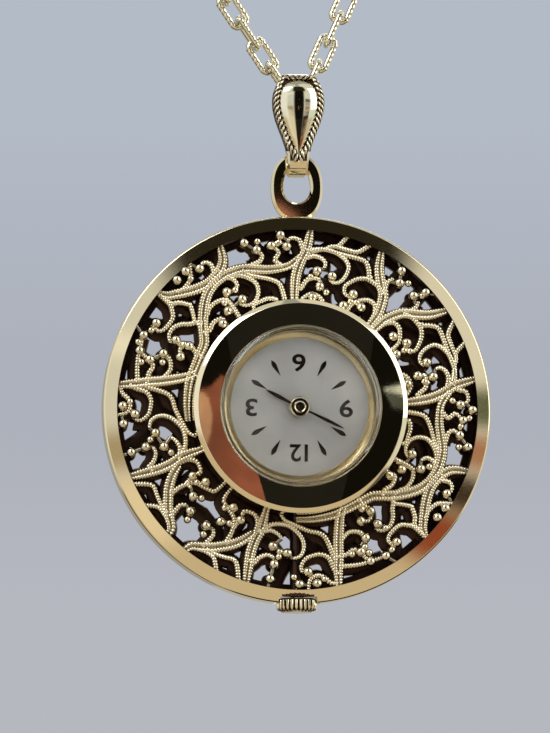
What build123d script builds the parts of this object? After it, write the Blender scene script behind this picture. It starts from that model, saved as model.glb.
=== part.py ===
import math
import os

from build123d import *

# Pendant watch on a chain. Lengths in mm, face toward -Y, +Z up.
# Depths are measured forward from the middle of the case's back face.

# Case, worked out from a 42 mm rim
rim_od = 42.0
rim_face = 1.5
rim_front = 5.6
rim_back = 2.4
drum_od = 23.1
drum_front = 8.6
drum_bevel = 0.5
drum_wall = 2.95
bezel_w = 2.85
crystal_wall = 0.6
crystal_seat = 6.9
crystal_edge = 9.2
crystal_top = 10.1
crystal_under = 8.5
dial_back = 5.6
dial_front = 5.95
flange = 0.3
back_rim = 0.9
back_lip = 1.4
back_wall = 0.6
lip_wall = 0.3
ring_height = 0.9
ring_w = 0.85
ring_edge = 0.2

# Pierced plates
plate = 0.7
band = 0.45
front_plate = 4.8
back_plate = 2.5
wire_share = 0.063
ribbon_share = 0.1
bar_share = 0.138
mirror_axis = 48.0

# Crown, stem and its tube
crown_d = 4.5
crown_long = 1.5
crown_gap = 0.15
notch_deep = 0.75
notch_gap = 0.3
knurl_deep = 0.12
knurl_count = 26
boss_high = 0.3
stem_r = 0.45
stem_gap = 0.05
tube_r = 0.75

# Pendant loop, bail and chain
loop_w = 5.6
loop_h = 7.3
loop_hole_w = 3.0
loop_hole_h = 4.9
loop_thick = 1.2
loop_edge = 0.3
loop_cut = 0.5
loop_foot_cut = 0.95
loop_sink = 0.35
bail_w = 5.7
bail_rise = 15.8
bail_tab = 2.4
bail_strap = 0.7
bail_bend = 1.2
bend_r = 1.0
tube_in_r = 1.5
dome_w = 4.1
dome_deep = 0.5
link_wire = 0.7
link_in = 3.05
link_w = 2.45
link_cut = 0.25
link_gap = 0.1
link_seat = 0.1
link_hook = 0.54
left_lean = 33.7
right_lean = 23.5
link_count = 4

# Movement
main_back = 3.45
main_front = 4.6
gap = 0.05
bridge_back = 1.35
bridge_front = 1.85
bridge_foot = 0.5
tooth = 0.11
arbor_r = 0.2
wheel_thick = 0.15
small_r = 1.25
pin_count = 8
bore_count = 24
coil_count = 12

# Everything below follows from the sizes above
rim_r = rim_od / 2
rim_in = rim_r - rim_face
drum_r = drum_od / 2
drum_bore = drum_r - drum_wall
move_r = drum_bore
flange_r = drum_bore - flange
mid = (rim_front + rim_back) / 2
crown_r = crown_d / 2
crystal_r = drum_r - bezel_w
lace = rim_in - drum_r
wire, ribbon, bar = lace * wire_share, lace * ribbon_share, lace * bar_share
bail_top = rim_r + bail_rise
os.makedirs("parts", exist_ok=True)


def facing(depth):
    """Sketch plane that faces the wearer, at a depth in front of the back."""
    return Plane.XZ.offset(depth)


def on_ring(turn, share):
    """Point in the pierced ring: degrees from the mirror axis, share of its width."""
    reach = drum_r + share * lace
    angle = math.radians(mirror_axis - turn)
    return (reach * math.cos(angle), reach * math.sin(angle))


def around(centre, reach, angle):
    """Point at a reach and an angle in degrees from a centre."""
    turn = math.radians(angle)
    return (centre[0] + reach * math.cos(turn), centre[1] + reach * math.sin(turn))


def pin(reach, mode=Mode.ADD):
    """Round of a small hidden shaft, pipe or screw, kept to a few faces."""
    return RegularPolygon(reach, side_count=pin_count, major_radius=True, mode=mode)


def bored(reach, mode=Mode.ADD):
    """Larger round that is mostly hidden, such as the case's inside, kept to few faces."""
    return RegularPolygon(reach, side_count=bore_count, major_radius=True, mode=mode)


def save(builder, label):
    builder.part.label = label
    export_step(builder.part, f"parts/{label}.step")


# Rim with a scallop for the crown
with BuildPart() as case_rim:
    with BuildSketch(facing(rim_back)):
        Circle(rim_r)
        Circle(rim_in, mode=Mode.SUBTRACT)
    extrude(amount=rim_front - rim_back)
    with BuildSketch(Plane.XY.offset(-rim_r + notch_deep)):
        with Locations((0, -mid)):
            Circle(crown_r + notch_gap)
    extrude(amount=-rim_face, mode=Mode.SUBTRACT)
    with BuildSketch(Plane.XY.offset(-rim_in + rim_face)):
        with Locations((0, -mid)):
            pin(tube_r)
    extrude(amount=-rim_face - rim_face, mode=Mode.SUBTRACT)
save(case_rim, "case_rim")

# Scrolls of the front plate, right half: degrees from the mirror axis, share of the ring
ribbon_shares = (
    ((1.5, -0.02), (3.3, 0.37), (8.5, 0.62), (14.2, 1.06)),
    ((44, -0.02), (42.2, 0.44), (39, 0.71), (37.8, 1.06)),
    ((40.9, 0.64), (46, 0.51), (52, 0.49), (62, 0.58), (70.5, 0.62), (78, 0.57), (84.7, 0.43),
     (91, 0.26), (97.5, 0.1), (108, 0.05), (122, 0.05), (139, 0.05), (147.5, 0.12)),
    ((67, 1.06), (70.5, 0.74), (77.4, 0.64), (85.1, 0.72), (93, 1.06)),
    ((125, 1.06), (122.6, 0.63), (119, 0.26), (114.5, -0.02)),
    ((154.5, 1.06), (156.1, 0.6), (155.3, -0.02)),
    ((157.8, 0.34), (163.6, 0.6), (169.9, 0.78), (177, 1.06)),
)
wire_shares = (
    ((5.3, 0.51), (11, 0.58), (17.2, 0.52), (21, 0.34), (17, 0.25)),
    ((3.5, 0.23), (8.8, 0.34), (14, 0.22), (15.5, -0.02)),
    ((13.2, 0.56), (17.6, 0.78), (25, 0.76), (38.9, 0.72)),
    ((30, 0.77), (24, 0.69), (22.2, 0.5), (26.3, 0.35), (28.5, 0.4)),
    ((48.4, -0.02), (50.5, 0.26), (55, 0.38), (60.5, 0.52)),
    ((70.5, 0.59), (62.4, 0.44), (60.7, 0.22), (65.7, 0.1), (71, 0.2)),
    ((90.5, 0.71), (88.4, 0.57), (92, 0.37)),
    ((92.8, 0.96), (94.5, 0.71), (100, 0.64), (103.3, 0.73), (101.2, 0.8)),
    ((90, 0.3), (93.5, 0.42), (97, 0.53), (102.5, 0.55), (104.5, 0.45)),
    ((108.6, 0.29), (105.5, 0.34), (102.3, 0.22), (103.8, -0.02)),
    ((107, 0.87), (114.2, 0.7), (123.5, 0.74)),
    ((124.2, 0.62), (126.2, 0.32), (137, 0.16), (146, -0.02)),
    ((124.8, 0.95), (131.3, 0.82), (135, 1.06)),
    ((154.5, 0.27), (147.2, 0.13), (138, 0.22), (135.7, 0.45), (139.9, 0.58), (142, 0.51)),
    ((157, 1.06), (160.9, 0.78), (170, 0.8)),
    ((166.1, 0.62), (166.6, 0.38), (172.2, 0.41)),
    ((166.6, 0.38), (165.1, 0.25), (174, 0.18), (177.5, -0.02)),
)

with BuildPart() as filigree_front:
    with BuildSketch(facing(front_plate)):
        for side in (1, -1):
            for shares, width in ((ribbon_shares, ribbon), (wire_shares, wire)):
                for row in shares:
                    with BuildLine():
                        Polyline(*[on_ring(side * turn, share) for turn, share in row])
                    trace(line_width=width)
        Circle(rim_in, mode=Mode.INTERSECT)
        Circle(drum_r, mode=Mode.SUBTRACT)
    extrude(amount=plate)
save(filigree_front, "filigree_front")

# Plainer bars of the back plate, seen dark through the front one
bar_shares = (
    ((0, -0.02), (6, 0.4), (4, 1.06)),
    ((24, 1.06), (20, 0.7), (12, 0.45), (6, 0.4)),
    ((20, 0.7), (28, 0.3), (26, -0.02)),
    ((44, -0.02), (42.2, 0.44), (38, 1.06)),
    ((60, 1.06), (52, 0.7), (41, 0.6)),
    ((62, -0.02), (56, 0.3), (52, 0.7)),
    ((84, 1.06), (78, 0.6), (66, 0.4), (58, 0.25)),
    ((88, -0.02), (86, 0.35), (78, 0.6)),
    ((104, 1.06), (98, 0.6), (86, 0.35)),
    ((112, -0.02), (108, 0.4), (98, 0.6)),
    ((125, 1.06), (122, 0.5), (108, 0.4)),
    ((138, -0.02), (132, 0.4), (122, 0.5)),
    ((146, 1.06), (142, 0.65), (132, 0.4)),
    ((154.5, 1.06), (156, 0.5), (155.3, -0.02)),
    ((142, 0.65), (149, 0.4), (156, 0.35)),
    ((156, 0.4), (166, 0.6), (172, 1.06)),
    ((28, 0.3), (35, 0.2), (42.2, 0.44)),
    ((166, 0.6), (181, 0.45)),
)

with BuildPart() as filigree_back:
    with BuildSketch(facing(back_plate)):
        for side in (1, -1):
            for row in bar_shares:
                with BuildLine():
                    Polyline(*[on_ring(side * turn, share) for turn, share in row])
                trace(line_width=bar)
        Circle(rim_in, mode=Mode.INTERSECT)
        Circle(drum_r, mode=Mode.SUBTRACT)
    extrude(amount=plate)
save(filigree_back, "filigree_back")

# Drum: bezel, crystal seat, dial flange and the bore for the movement
with BuildPart() as drum:
    with BuildSketch(Plane.XY):
        with BuildLine():
            Polyline(
                (0, -back_rim),
                (drum_r, -back_rim),
                (drum_r, -drum_front + drum_bevel),
                (drum_r - drum_bevel, -drum_front),
                (0, -drum_front),
                close=True,
            )
        make_face()
    revolve(axis=Axis.Y)
    with BuildSketch(facing(crystal_seat)):
        Circle(crystal_r)
    extrude(amount=drum_front - crystal_seat, mode=Mode.SUBTRACT)
    with BuildSketch(facing(dial_front)):
        bored(flange_r)
    extrude(amount=crystal_seat - dial_front, mode=Mode.SUBTRACT)
    with BuildSketch(facing(back_rim)):
        bored(drum_bore)
    extrude(amount=dial_front - back_rim, mode=Mode.SUBTRACT)
    with BuildSketch(Plane.XY.offset(-flange_r + band)):
        with Locations((0, -mid)):
            pin(tube_r)
    extrude(amount=-drum_r, mode=Mode.SUBTRACT)
save(drum, "drum")

# Snap-on back: a disc with a lip that grips the drum's bore
with BuildPart() as case_back:
    with BuildSketch(facing(0)):
        Circle(drum_r)
    extrude(amount=back_rim)
    with BuildSketch(facing(back_rim)):
        bored(drum_bore)
        bored(drum_bore - lip_wall, Mode.SUBTRACT)
    extrude(amount=back_lip - back_rim)
    with BuildSketch(facing(back_wall)):
        bored(drum_bore - lip_wall)
    extrude(amount=back_rim - back_wall, mode=Mode.SUBTRACT)
save(case_back, "case_back")

# Crystal: a low crown with a standing edge, held from inside by a gold ring
crown_share = 0.75
ring_out = crystal_r - crystal_wall
view_r = ring_out - ring_w
with BuildPart() as crystal:
    with BuildSketch(Plane.XY):
        with BuildLine():
            Polyline(
                (0, -crystal_seat),
                (crystal_r, -crystal_seat),
                (crystal_r, -crystal_edge),
                (crystal_r * crown_share, -crystal_top),
                (0, -crystal_top),
                close=True,
            )
        make_face()
    revolve(axis=Axis.Y)
    with BuildSketch(facing(crystal_seat)):
        bored(ring_out)
    extrude(amount=crystal_under - crystal_seat, mode=Mode.SUBTRACT)
save(crystal, "crystal")

with BuildPart() as tension_ring:
    with BuildSketch(facing(crystal_seat)):
        bored(ring_out)
    extrude(amount=ring_height)
    with BuildSketch(facing(crystal_seat)):
        bored(view_r)
    with BuildSketch(facing(crystal_seat + ring_height)):
        bored(ring_out - ring_edge)
    loft(mode=Mode.SUBTRACT)
save(tension_ring, "tension_ring")

# Dial and hands, standing at about eleven minutes to four
post_r = 0.35
collar_r = 0.55
hub_r = 1.0
hub_count = 16
hour_back = 6.3
minute_back = 6.75
hand_thick = 0.2
hour_reach = 3.9
minute_reach = 5.15
hand_w = 0.75
hand_waist = 0.3
hour_way = 152.3
minute_way = -25.4
minute_end = 7.15
with BuildPart() as dial:
    with BuildSketch(facing(dial_back)):
        bored(move_r)
        pin(collar_r + arbor_r, Mode.SUBTRACT)
    extrude(amount=dial_front - dial_back)
save(dial, "dial")


def hand(depth, reach, way, bore):
    """Leaf hand on its own hub, drawn flat."""
    with BuildPart() as built:
        with BuildSketch(facing(depth)):
            with BuildLine():
                Polyline(
                    around((0, 0), reach, way),
                    around(around((0, 0), reach / 2, way), hand_w / 2, way + 90),
                    around((0, 0), hand_waist, way + 90),
                    around((0, 0), hand_waist, way - 90),
                    around(around((0, 0), reach / 2, way), hand_w / 2, way - 90),
                    close=True,
                )
            make_face()
            RegularPolygon(hub_r, side_count=hub_count)
            pin(bore, Mode.SUBTRACT)
        extrude(amount=hand_thick)
    return built


hour_hand = hand(hour_back, hour_reach, hour_way, collar_r)
save(hour_hand, "hour_hand")
minute_hand = hand(minute_back, minute_reach, minute_way, post_r)
save(minute_hand, "minute_hand")


def toothed(count, reach, tip, height=tooth):
    """Wheel outline with plain pointed teeth, one of them at the angle tip."""
    step = 360 / count
    points = []
    for turn in range(count):
        points.append(around((0, 0), reach + height / 2, tip + turn * step))
        points.append(around((0, 0), reach - height, tip + turn * step + step / 2))
    with BuildLine() as outline:
        Polyline(*points, close=True)
    return make_face(outline.edges(), mode=Mode.PRIVATE)


def staff(centre, layers, hollows=()):
    """Wheels, pinions and arbor of one shaft; a layer is back, front, outline or radius."""
    with BuildPart() as built:
        for group, mode in ((layers, Mode.ADD), (hollows, Mode.SUBTRACT)):
            for back, front, form in group:
                with BuildSketch(facing(back)):
                    with Locations(centre):
                        if isinstance(form, tuple):
                            add(toothed(*form))
                        elif form < small_r:
                            pin(form)
                        else:
                            Circle(form)
                extrude(amount=front - back, mode=mode)
    return built


# Teeth and radii of the train, the motion work and the winding work
barrel_teeth, barrel_share, centre_leaves = 35, 0.407, 5
centre_teeth, centre_share, third_leaves = 40, 0.3023, 5
third_teeth, third_share, fourth_leaves = 45, 0.2326, 6
fourth_teeth, fourth_share, escape_leaves = 40, 0.2209, 5
escape_teeth, escape_share = 15, 0.1744
minute_teeth, minute_share, cannon_leaves = 24, 0.157, 8
hour_teeth, minute_leaves = 24, 6
ratchet_teeth, ratchet_share, crown_teeth = 30, 0.3488, 18
barrel_wheel, centre_wheel = move_r * barrel_share, move_r * centre_share
third_wheel_r, fourth_wheel_r = move_r * third_share, move_r * fourth_share
escape_wheel_r, minute_wheel_r = move_r * escape_share, move_r * minute_share
ratchet_r = move_r * ratchet_share
centre_pinion = barrel_wheel * centre_leaves / barrel_teeth
third_pinion = centre_wheel * third_leaves / centre_teeth
fourth_pinion = third_wheel_r * fourth_leaves / third_teeth
escape_pinion = fourth_wheel_r * escape_leaves / fourth_teeth
cannon_r = minute_wheel_r * cannon_leaves / minute_teeth
motion_reach = minute_wheel_r + cannon_r
hour_wheel_r = motion_reach * hour_teeth / (hour_teeth + minute_leaves)
minute_pinion = motion_reach - hour_wheel_r
crown_wheel_r = ratchet_r * crown_teeth / ratchet_teeth

# Places of the shafts seen from the front, each reached from the one before
barrel_way, third_way, fourth_way, escape_way = 200, 92, -10, -5
minute_wheel_way, balance_way = 60, -27.5
balance_place_share = 0.6047
balance_reach = move_r * balance_place_share
middle = (0, 0)
barrel_at = around(middle, barrel_wheel + centre_pinion, barrel_way)
third_at = around(middle, centre_wheel + third_pinion, third_way)
fourth_at = around(third_at, third_wheel_r + fourth_pinion, fourth_way)
escape_at = around(fourth_at, fourth_wheel_r + escape_pinion, escape_way)
minute_at = around(middle, motion_reach, minute_wheel_way)
balance_at = around(middle, balance_reach, balance_way)
ratchet_drop = math.sqrt((ratchet_r + crown_wheel_r) ** 2 - barrel_at[0] ** 2)
crown_wheel_at = (0, barrel_at[1] - ratchet_drop)
ratchet_way = math.degrees(math.atan2(-ratchet_drop, -barrel_at[0]))

# Levels of the movement, as depths
ratchet_back, ratchet_front = 1.05, 1.3
centre_back, fourth_back, low_back, escape_back = 2.0, 2.3, 2.7, 2.8
drum_back, teeth_back, stack_front = 2.3, 3.0, 3.4
barrel_wall = 0.2
crown_low_back, crown_low_front, crown_low_r = 2.3, 2.75, 1.2
cannon_back, cannon_front = 4.65, 5.1
minute_wheel_back, hour_wheel_back = 4.75, 5.15
motion_front = 5.35
balance_back = 1.95
spring_back = 1.6
cock_back, cock_front = 1.05, 1.4
staff_r = 0.15


def across(count):
    """Turn by half a tooth, so that a gap faces the partner's tooth."""
    return 180 / count


barrel_in = barrel_wheel - barrel_wall - barrel_wall
barrel = staff(
    barrel_at,
    ((drum_back, stack_front, (barrel_teeth, barrel_wheel, barrel_way - 180)),),
    (
        (drum_back + barrel_wall, stack_front - barrel_wall, (coil_count, barrel_in, 0, 0)),
        (drum_back, drum_back + barrel_wall, arbor_r + arbor_r + gap),
    ),
)
save(barrel, "barrel")

barrel_arbor = staff(barrel_at, ((ratchet_front, stack_front - barrel_wall - gap, arbor_r + arbor_r),))
save(barrel_arbor, "barrel_arbor")
ratchet_wheel = staff(
    barrel_at, ((ratchet_back, ratchet_front, (ratchet_teeth, ratchet_r, ratchet_way)),)
)
save(ratchet_wheel, "ratchet_wheel")
crown_wheel = staff(
    crown_wheel_at,
    (
        (ratchet_back, ratchet_front, (crown_teeth, crown_wheel_r, ratchet_way + 180 + across(crown_teeth))),
        (ratchet_front, crown_low_back, arbor_r + arbor_r),
        (crown_low_back, crown_low_front, crown_low_r),
    ),
)
save(crown_wheel, "crown_wheel")
centre_arbor = staff(
    middle,
    (
        (centre_back - gap, stack_front, arbor_r),
        (centre_back, centre_back + wheel_thick, (centre_teeth, centre_wheel, third_way)),
        (teeth_back, stack_front, (centre_leaves, centre_pinion, barrel_way + across(centre_leaves))),
        (stack_front, cannon_back, arbor_r),
    ),
)
save(centre_arbor, "centre_wheel")
third_wheel = staff(
    third_at,
    (
        (centre_back - gap, stack_front, arbor_r),
        (centre_back, fourth_back - gap,
         (third_leaves, third_pinion, third_way + 180 + across(third_leaves))),
        (low_back, low_back + wheel_thick, (third_teeth, third_wheel_r, fourth_way)),
    ),
)
save(third_wheel, "third_wheel")
fourth_wheel = staff(
    fourth_at,
    (
        (centre_back - gap, stack_front, staff_r),
        (low_back - gap, low_back + wheel_thick + gap,
         (fourth_leaves, fourth_pinion, fourth_way + 180 + across(fourth_leaves))),
        (fourth_back, fourth_back + wheel_thick, (fourth_teeth, fourth_wheel_r, escape_way)),
    ),
)
save(fourth_wheel, "fourth_wheel")
escape_wheel = staff(
    escape_at,
    (
        (centre_back - gap, stack_front, staff_r - gap),
        (fourth_back - gap, fourth_back + wheel_thick + gap,
         (escape_leaves, escape_pinion, escape_way + 180 + across(escape_leaves))),
        (escape_back, escape_back + wheel_thick, (escape_teeth, escape_wheel_r, 0)),
    ),
)
save(escape_wheel, "escape_wheel")
cannon_pinion = staff(
    middle,
    (
        (cannon_back, cannon_front, (cannon_leaves, cannon_r, minute_wheel_way)),
        (cannon_front, minute_end, post_r),
    ),
)
save(cannon_pinion, "cannon_pinion")
minute_wheel = staff(
    minute_at,
    (
        (main_front, minute_wheel_back, arbor_r),
        (minute_wheel_back, minute_wheel_back + wheel_thick,
         (minute_teeth, minute_wheel_r, minute_wheel_way + 180 + across(minute_teeth))),
        (minute_wheel_back + wheel_thick, motion_front,
         (minute_leaves, minute_pinion, minute_wheel_way + 180)),
    ),
)
save(minute_wheel, "minute_wheel")
hour_wheel = staff(
    middle,
    (
        (hour_wheel_back, hour_wheel_back + wheel_thick,
         (hour_teeth, hour_wheel_r, minute_wheel_way + across(hour_teeth))),
        (hour_wheel_back + wheel_thick, hour_back + hand_thick, collar_r),
    ),
    ((hour_wheel_back, hour_back + hand_thick, post_r + gap),),
)
save(hour_wheel, "hour_wheel")

# Mainspring: the coiled band, drawn as the ring that it fills
coil_in_share, coil_out_share = 0.343, 0.829
coil_in, coil_out = barrel_wheel * coil_in_share, barrel_wheel * coil_out_share
with BuildPart() as mainspring:
    with BuildSketch(facing(drum_back + barrel_wall + gap)):
        with Locations(barrel_at):
            RegularPolygon(coil_out, side_count=coil_count)
            RegularPolygon(coil_in, side_count=coil_count, mode=Mode.SUBTRACT)
    extrude(amount=stack_front - drum_back - barrel_wall - barrel_wall - gap - gap)
save(mainspring, "mainspring")

# Main plate with the pocket for the winding work, and the bridges on its back
pocket_w, pocket_top_share, pocket_bottom_share = 1.35, 0.4535, 0.7674
pocket_top, pocket_bottom = -move_r * pocket_top_share, -move_r * pocket_bottom_share
with BuildPart() as main_plate:
    with BuildSketch(facing(main_back)):
        bored(move_r)
        pin(arbor_r + gap, Mode.SUBTRACT)
        with Locations((0, (pocket_top + pocket_bottom) / 2)):
            Rectangle(pocket_w + pocket_w, pocket_top - pocket_bottom, mode=Mode.SUBTRACT)
    extrude(amount=main_front - main_back)
    with BuildSketch(Plane.XY.offset(pocket_bottom)):
        with Locations((0, -mid)):
            pin(stem_r + stem_gap)
    extrude(amount=-move_r - pocket_bottom, mode=Mode.SUBTRACT)
save(main_plate, "main_plate")

bridge_r = drum_bore - lip_wall - gap


def bridge(outline, back, front, holes):
    """Flat bridge cut from the movement's circle, with a foot along its rim."""
    with BuildPart() as built:
        for start, end, inner in ((back, front, 0), (front, main_back, bridge_r - bridge_foot)):
            with BuildSketch(facing(start)):
                with BuildLine():
                    Polyline(*outline, close=True)
                make_face()
                bored(bridge_r, Mode.INTERSECT)
                if inner:
                    bored(inner, Mode.SUBTRACT)
                else:
                    for place, reach in holes:
                        with Locations(place):
                            pin(reach, Mode.SUBTRACT)
            extrude(amount=end - start)
    return built


split_x_share, split_z_share, split_gap = 0.221, 0.0814, 0.3
split_x, split_z = move_r * split_x_share, move_r * split_z_share
barrel_bridge = bridge(
    ((-move_r, -move_r), (-move_r, split_z), (split_x, split_z), (split_x, -move_r)),
    bridge_back,
    bridge_front,
    ((barrel_at, arbor_r + arbor_r + gap), (crown_wheel_at, arbor_r + arbor_r + gap)),
)
save(barrel_bridge, "barrel_bridge")
train_bridge = bridge(
    (
        (-split_x - split_x, split_z + split_gap),
        (-split_x - split_x, move_r),
        (move_r, move_r),
        (move_r, split_z + split_gap),
    ),
    bridge_back,
    bridge_front,
    (),
)
save(train_bridge, "train_bridge")
cock_w = 1.1
balance_cock = bridge(
    (
        around(balance_at, cock_w, balance_way + 90),
        around(balance_at, cock_w, balance_way + 180),
        around(balance_at, cock_w, balance_way - 90),
        around(around(balance_at, balance_reach, balance_way), cock_w, balance_way - 90),
        around(around(balance_at, balance_reach, balance_way), cock_w, balance_way + 90),
    ),
    cock_back,
    cock_front,
    (),
)
save(balance_cock, "balance_cock")

# Balance with its spring, and the pallet fork that it swings
balance_share, balance_rim, roller_r = 0.2558, 0.35, 0.45
balance_r = move_r * balance_share
with BuildPart() as balance_wheel:
    with BuildSketch(facing(balance_back)):
        with Locations(balance_at):
            RegularPolygon(balance_r, side_count=coil_count)
            RegularPolygon(balance_r - balance_rim, side_count=coil_count, mode=Mode.SUBTRACT)
        with Locations(Location((*balance_at, 0), (0, 0, balance_way))):
            Rectangle(balance_r + balance_r - balance_rim, balance_rim)
    extrude(amount=wheel_thick + wheel_thick)
    for back, front, reach in (
        (cock_front + gap, stack_front, staff_r),
        (escape_back + wheel_thick, escape_back + wheel_thick + wheel_thick, roller_r),
    ):
        with BuildSketch(facing(back)):
            with Locations(balance_at):
                pin(reach)
        extrude(amount=front - back)
save(balance_wheel, "balance_wheel")

spring_in, spring_share, spring_wire, turn_count, point_count = 0.35, 0.1744, 0.07, 3, 8
spring_out = move_r * spring_share
with BuildPart() as hairspring:
    with BuildSketch(facing(spring_back)):
        points = []
        for count in range(turn_count * point_count + 1):
            share = count / (turn_count * point_count)
            reach = spring_in + (spring_out - spring_in) * share
            points.append(around(balance_at, reach, 360 * turn_count * share))
        with BuildLine():
            Polyline(*points)
        trace(line_width=spring_wire)
    extrude(amount=wheel_thick)
save(hairspring, "hairspring")

pallet_share, span_share, pallet_arm, fork_share = 0.42, 0.1744, 0.4, 0.2326
pallet_span, fork_long = move_r * span_share, move_r * fork_share
pallet_at = tuple(e + (b - e) * pallet_share for e, b in zip(escape_at, balance_at))
pallet_way = math.degrees(math.atan2(balance_at[1] - escape_at[1], balance_at[0] - escape_at[0]))
with BuildPart() as pallet_fork:
    with BuildSketch(facing(escape_back)):
        with Locations(Location((*pallet_at, 0), (0, 0, pallet_way))):
            Rectangle(pallet_arm, pallet_span + pallet_span)
            with Locations((fork_long / 2, 0)):
                Rectangle(fork_long, pallet_arm)
    extrude(amount=wheel_thick)
    with BuildSketch(facing(escape_back - gap - gap)):
        with Locations(pallet_at):
            pin(staff_r)
    extrude(amount=stack_front - escape_back + gap + gap)
save(pallet_fork, "pallet_fork")

# Winding work on the stem
pinion_r, pinion_long, pinion_share = 1.15, 0.7, 0.6163
pinion_top = -move_r * pinion_share
clutch_r, clutch_long = 0.8, 0.6
pinion_teeth = 12


def on_stem(start, length, form, bore):
    """Piece turned about the stem's axis, from a height downward."""
    with BuildPart() as built:
        with BuildSketch(Plane.XY.offset(start)):
            with Locations((0, -mid)):
                if isinstance(form, tuple):
                    add(toothed(*form))
                elif form < small_r:
                    pin(form)
                else:
                    Circle(form)
                if bore:
                    pin(bore, Mode.SUBTRACT)
        extrude(amount=-length)
    return built


crown_top = -rim_r + notch_deep - crown_gap
tube_top = -move_r
winding_pinion = on_stem(pinion_top, pinion_long, (pinion_teeth, pinion_r, 0), stem_r + stem_gap)
save(winding_pinion, "winding_pinion")
clutch_top = pinion_top + gap + clutch_long
sliding_pinion = on_stem(clutch_top, clutch_long, clutch_r, stem_r + stem_gap)
save(sliding_pinion, "sliding_pinion")
stem_top = pocket_top - gap
winding_stem = on_stem(stem_top, stem_top - crown_top, stem_r, 0)
save(winding_stem, "winding_stem")
stem_tube = on_stem(tube_top, rim_r - notch_deep + tube_top, tube_r, stem_r + stem_gap)
save(stem_tube, "stem_tube")

# Crown: a knurled knob with a plain boss on its end, fast on the stem
with BuildPart() as crown:
    with BuildSketch(Plane.XY.offset(crown_top)):
        with Locations((0, -mid)):
            add(toothed(knurl_count, crown_r - knurl_deep, 0, knurl_deep))
    extrude(amount=-crown_long + boss_high)
    with BuildSketch(Plane.XY.offset(crown_top - crown_long + boss_high)):
        with Locations((0, -mid)):
            bored(crown_r - knurl_deep - boss_high)
    extrude(amount=-boss_high)
save(crown, "crown")

# Levers of the setting work
lever_back, lever_thick = 4.7, 0.2
lever_place_share, lever_place_way = 0.8584, -65.2
yoke_place_share, yoke_place_way = 0.5262, -45
lever_at = around(middle, move_r * lever_place_share, lever_place_way)
yoke_at = around(middle, move_r * yoke_place_share, yoke_place_way)
lever_share, lever_w_share, lever_way = 0.1744, 0.0698, 130
yoke_share, yoke_way = 0.2674, -130
lever_reach, lever_w, yoke_reach = move_r * lever_share, move_r * lever_w_share, move_r * yoke_share


def lever(place, reach, way):
    """Flat lever with a round boss on its pivot."""
    with BuildPart() as built:
        with BuildSketch(facing(lever_back)):
            with Locations(place):
                pin(lever_w)
            with Locations(Location((*around(place, reach / 2, way), 0), (0, 0, way))):
                Rectangle(reach, lever_w)
        extrude(amount=lever_thick)
    return built


setting_lever = lever(lever_at, lever_reach, lever_way)
save(setting_lever, "setting_lever")
yoke = lever(yoke_at, yoke_reach, yoke_way)
save(yoke, "yoke")
click_way = 100
click_at = around(barrel_at, ratchet_r + lever_w + tooth, click_way)
with BuildPart() as click:
    with BuildSketch(facing(ratchet_back)):
        with Locations(click_at):
            pin(lever_w / 2)
    extrude(amount=bridge_back - ratchet_back)
save(click, "click")

# Screws of the bridges and the jewels over the pivots
head_r, head_high, jewel_r, jewel_high = 0.45, 0.2, 0.3, 0.1
screw_ways = (215, 262, 110, 60)
screw_reach = bridge_r - head_r - gap
with BuildPart() as movement_screws:
    for way in screw_ways:
        with BuildSketch(facing(bridge_back - head_high)):
            with Locations(around(middle, screw_reach, way)):
                pin(head_r)
        extrude(amount=head_high)
    with BuildSketch(facing(cock_back - head_high)):
        with Locations(around(middle, screw_reach, balance_way)):
            pin(head_r)
    extrude(amount=head_high)
save(movement_screws, "movement_screws")
with BuildPart() as jewels:
    for place in (third_at, fourth_at, escape_at):
        with BuildSketch(facing(bridge_back - jewel_high)):
            with Locations(place):
                pin(jewel_r)
        extrude(amount=jewel_high)
    with BuildSketch(facing(cock_back - jewel_high)):
        with Locations(balance_at):
            pin(jewel_r)
    extrude(amount=jewel_high)
save(jewels, "jewels")

# Pendant loop: a flat oval ring on a seat that follows the rim
loop_middle = rim_r - loop_sink + loop_h / 2
loop_back = mid - loop_thick / 2
bar_under = loop_middle + loop_hole_h / 2
hole_foot = loop_middle - loop_hole_h / 2
with BuildPart() as pendant_loop:
    with BuildSketch(facing(loop_back)):
        with Locations((0, loop_middle)):
            SlotOverall(loop_h, loop_w, rotation=90)
        with BuildLine():
            Polyline(
                (-loop_hole_w / 2, hole_foot + loop_foot_cut),
                (-loop_hole_w / 2 + loop_foot_cut, hole_foot),
                (loop_hole_w / 2 - loop_foot_cut, hole_foot),
                (loop_hole_w / 2, hole_foot + loop_foot_cut),
                (loop_hole_w / 2, bar_under - loop_cut),
                (loop_hole_w / 2 - loop_cut, bar_under),
                (-loop_hole_w / 2 + loop_cut, bar_under),
                (-loop_hole_w / 2, bar_under - loop_cut),
                close=True,
            )
        make_face(mode=Mode.SUBTRACT)
        Circle(rim_r, mode=Mode.SUBTRACT)
    extrude(amount=loop_thick)
    flats = pendant_loop.faces().filter_by(Axis.Y)
    bar_edges = flats.edges().filter_by(Axis.X).sort_by(Axis.Z)[-2:]
    chamfer(bar_edges, length=loop_edge)
save(pendant_loop, "pendant_loop")

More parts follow.
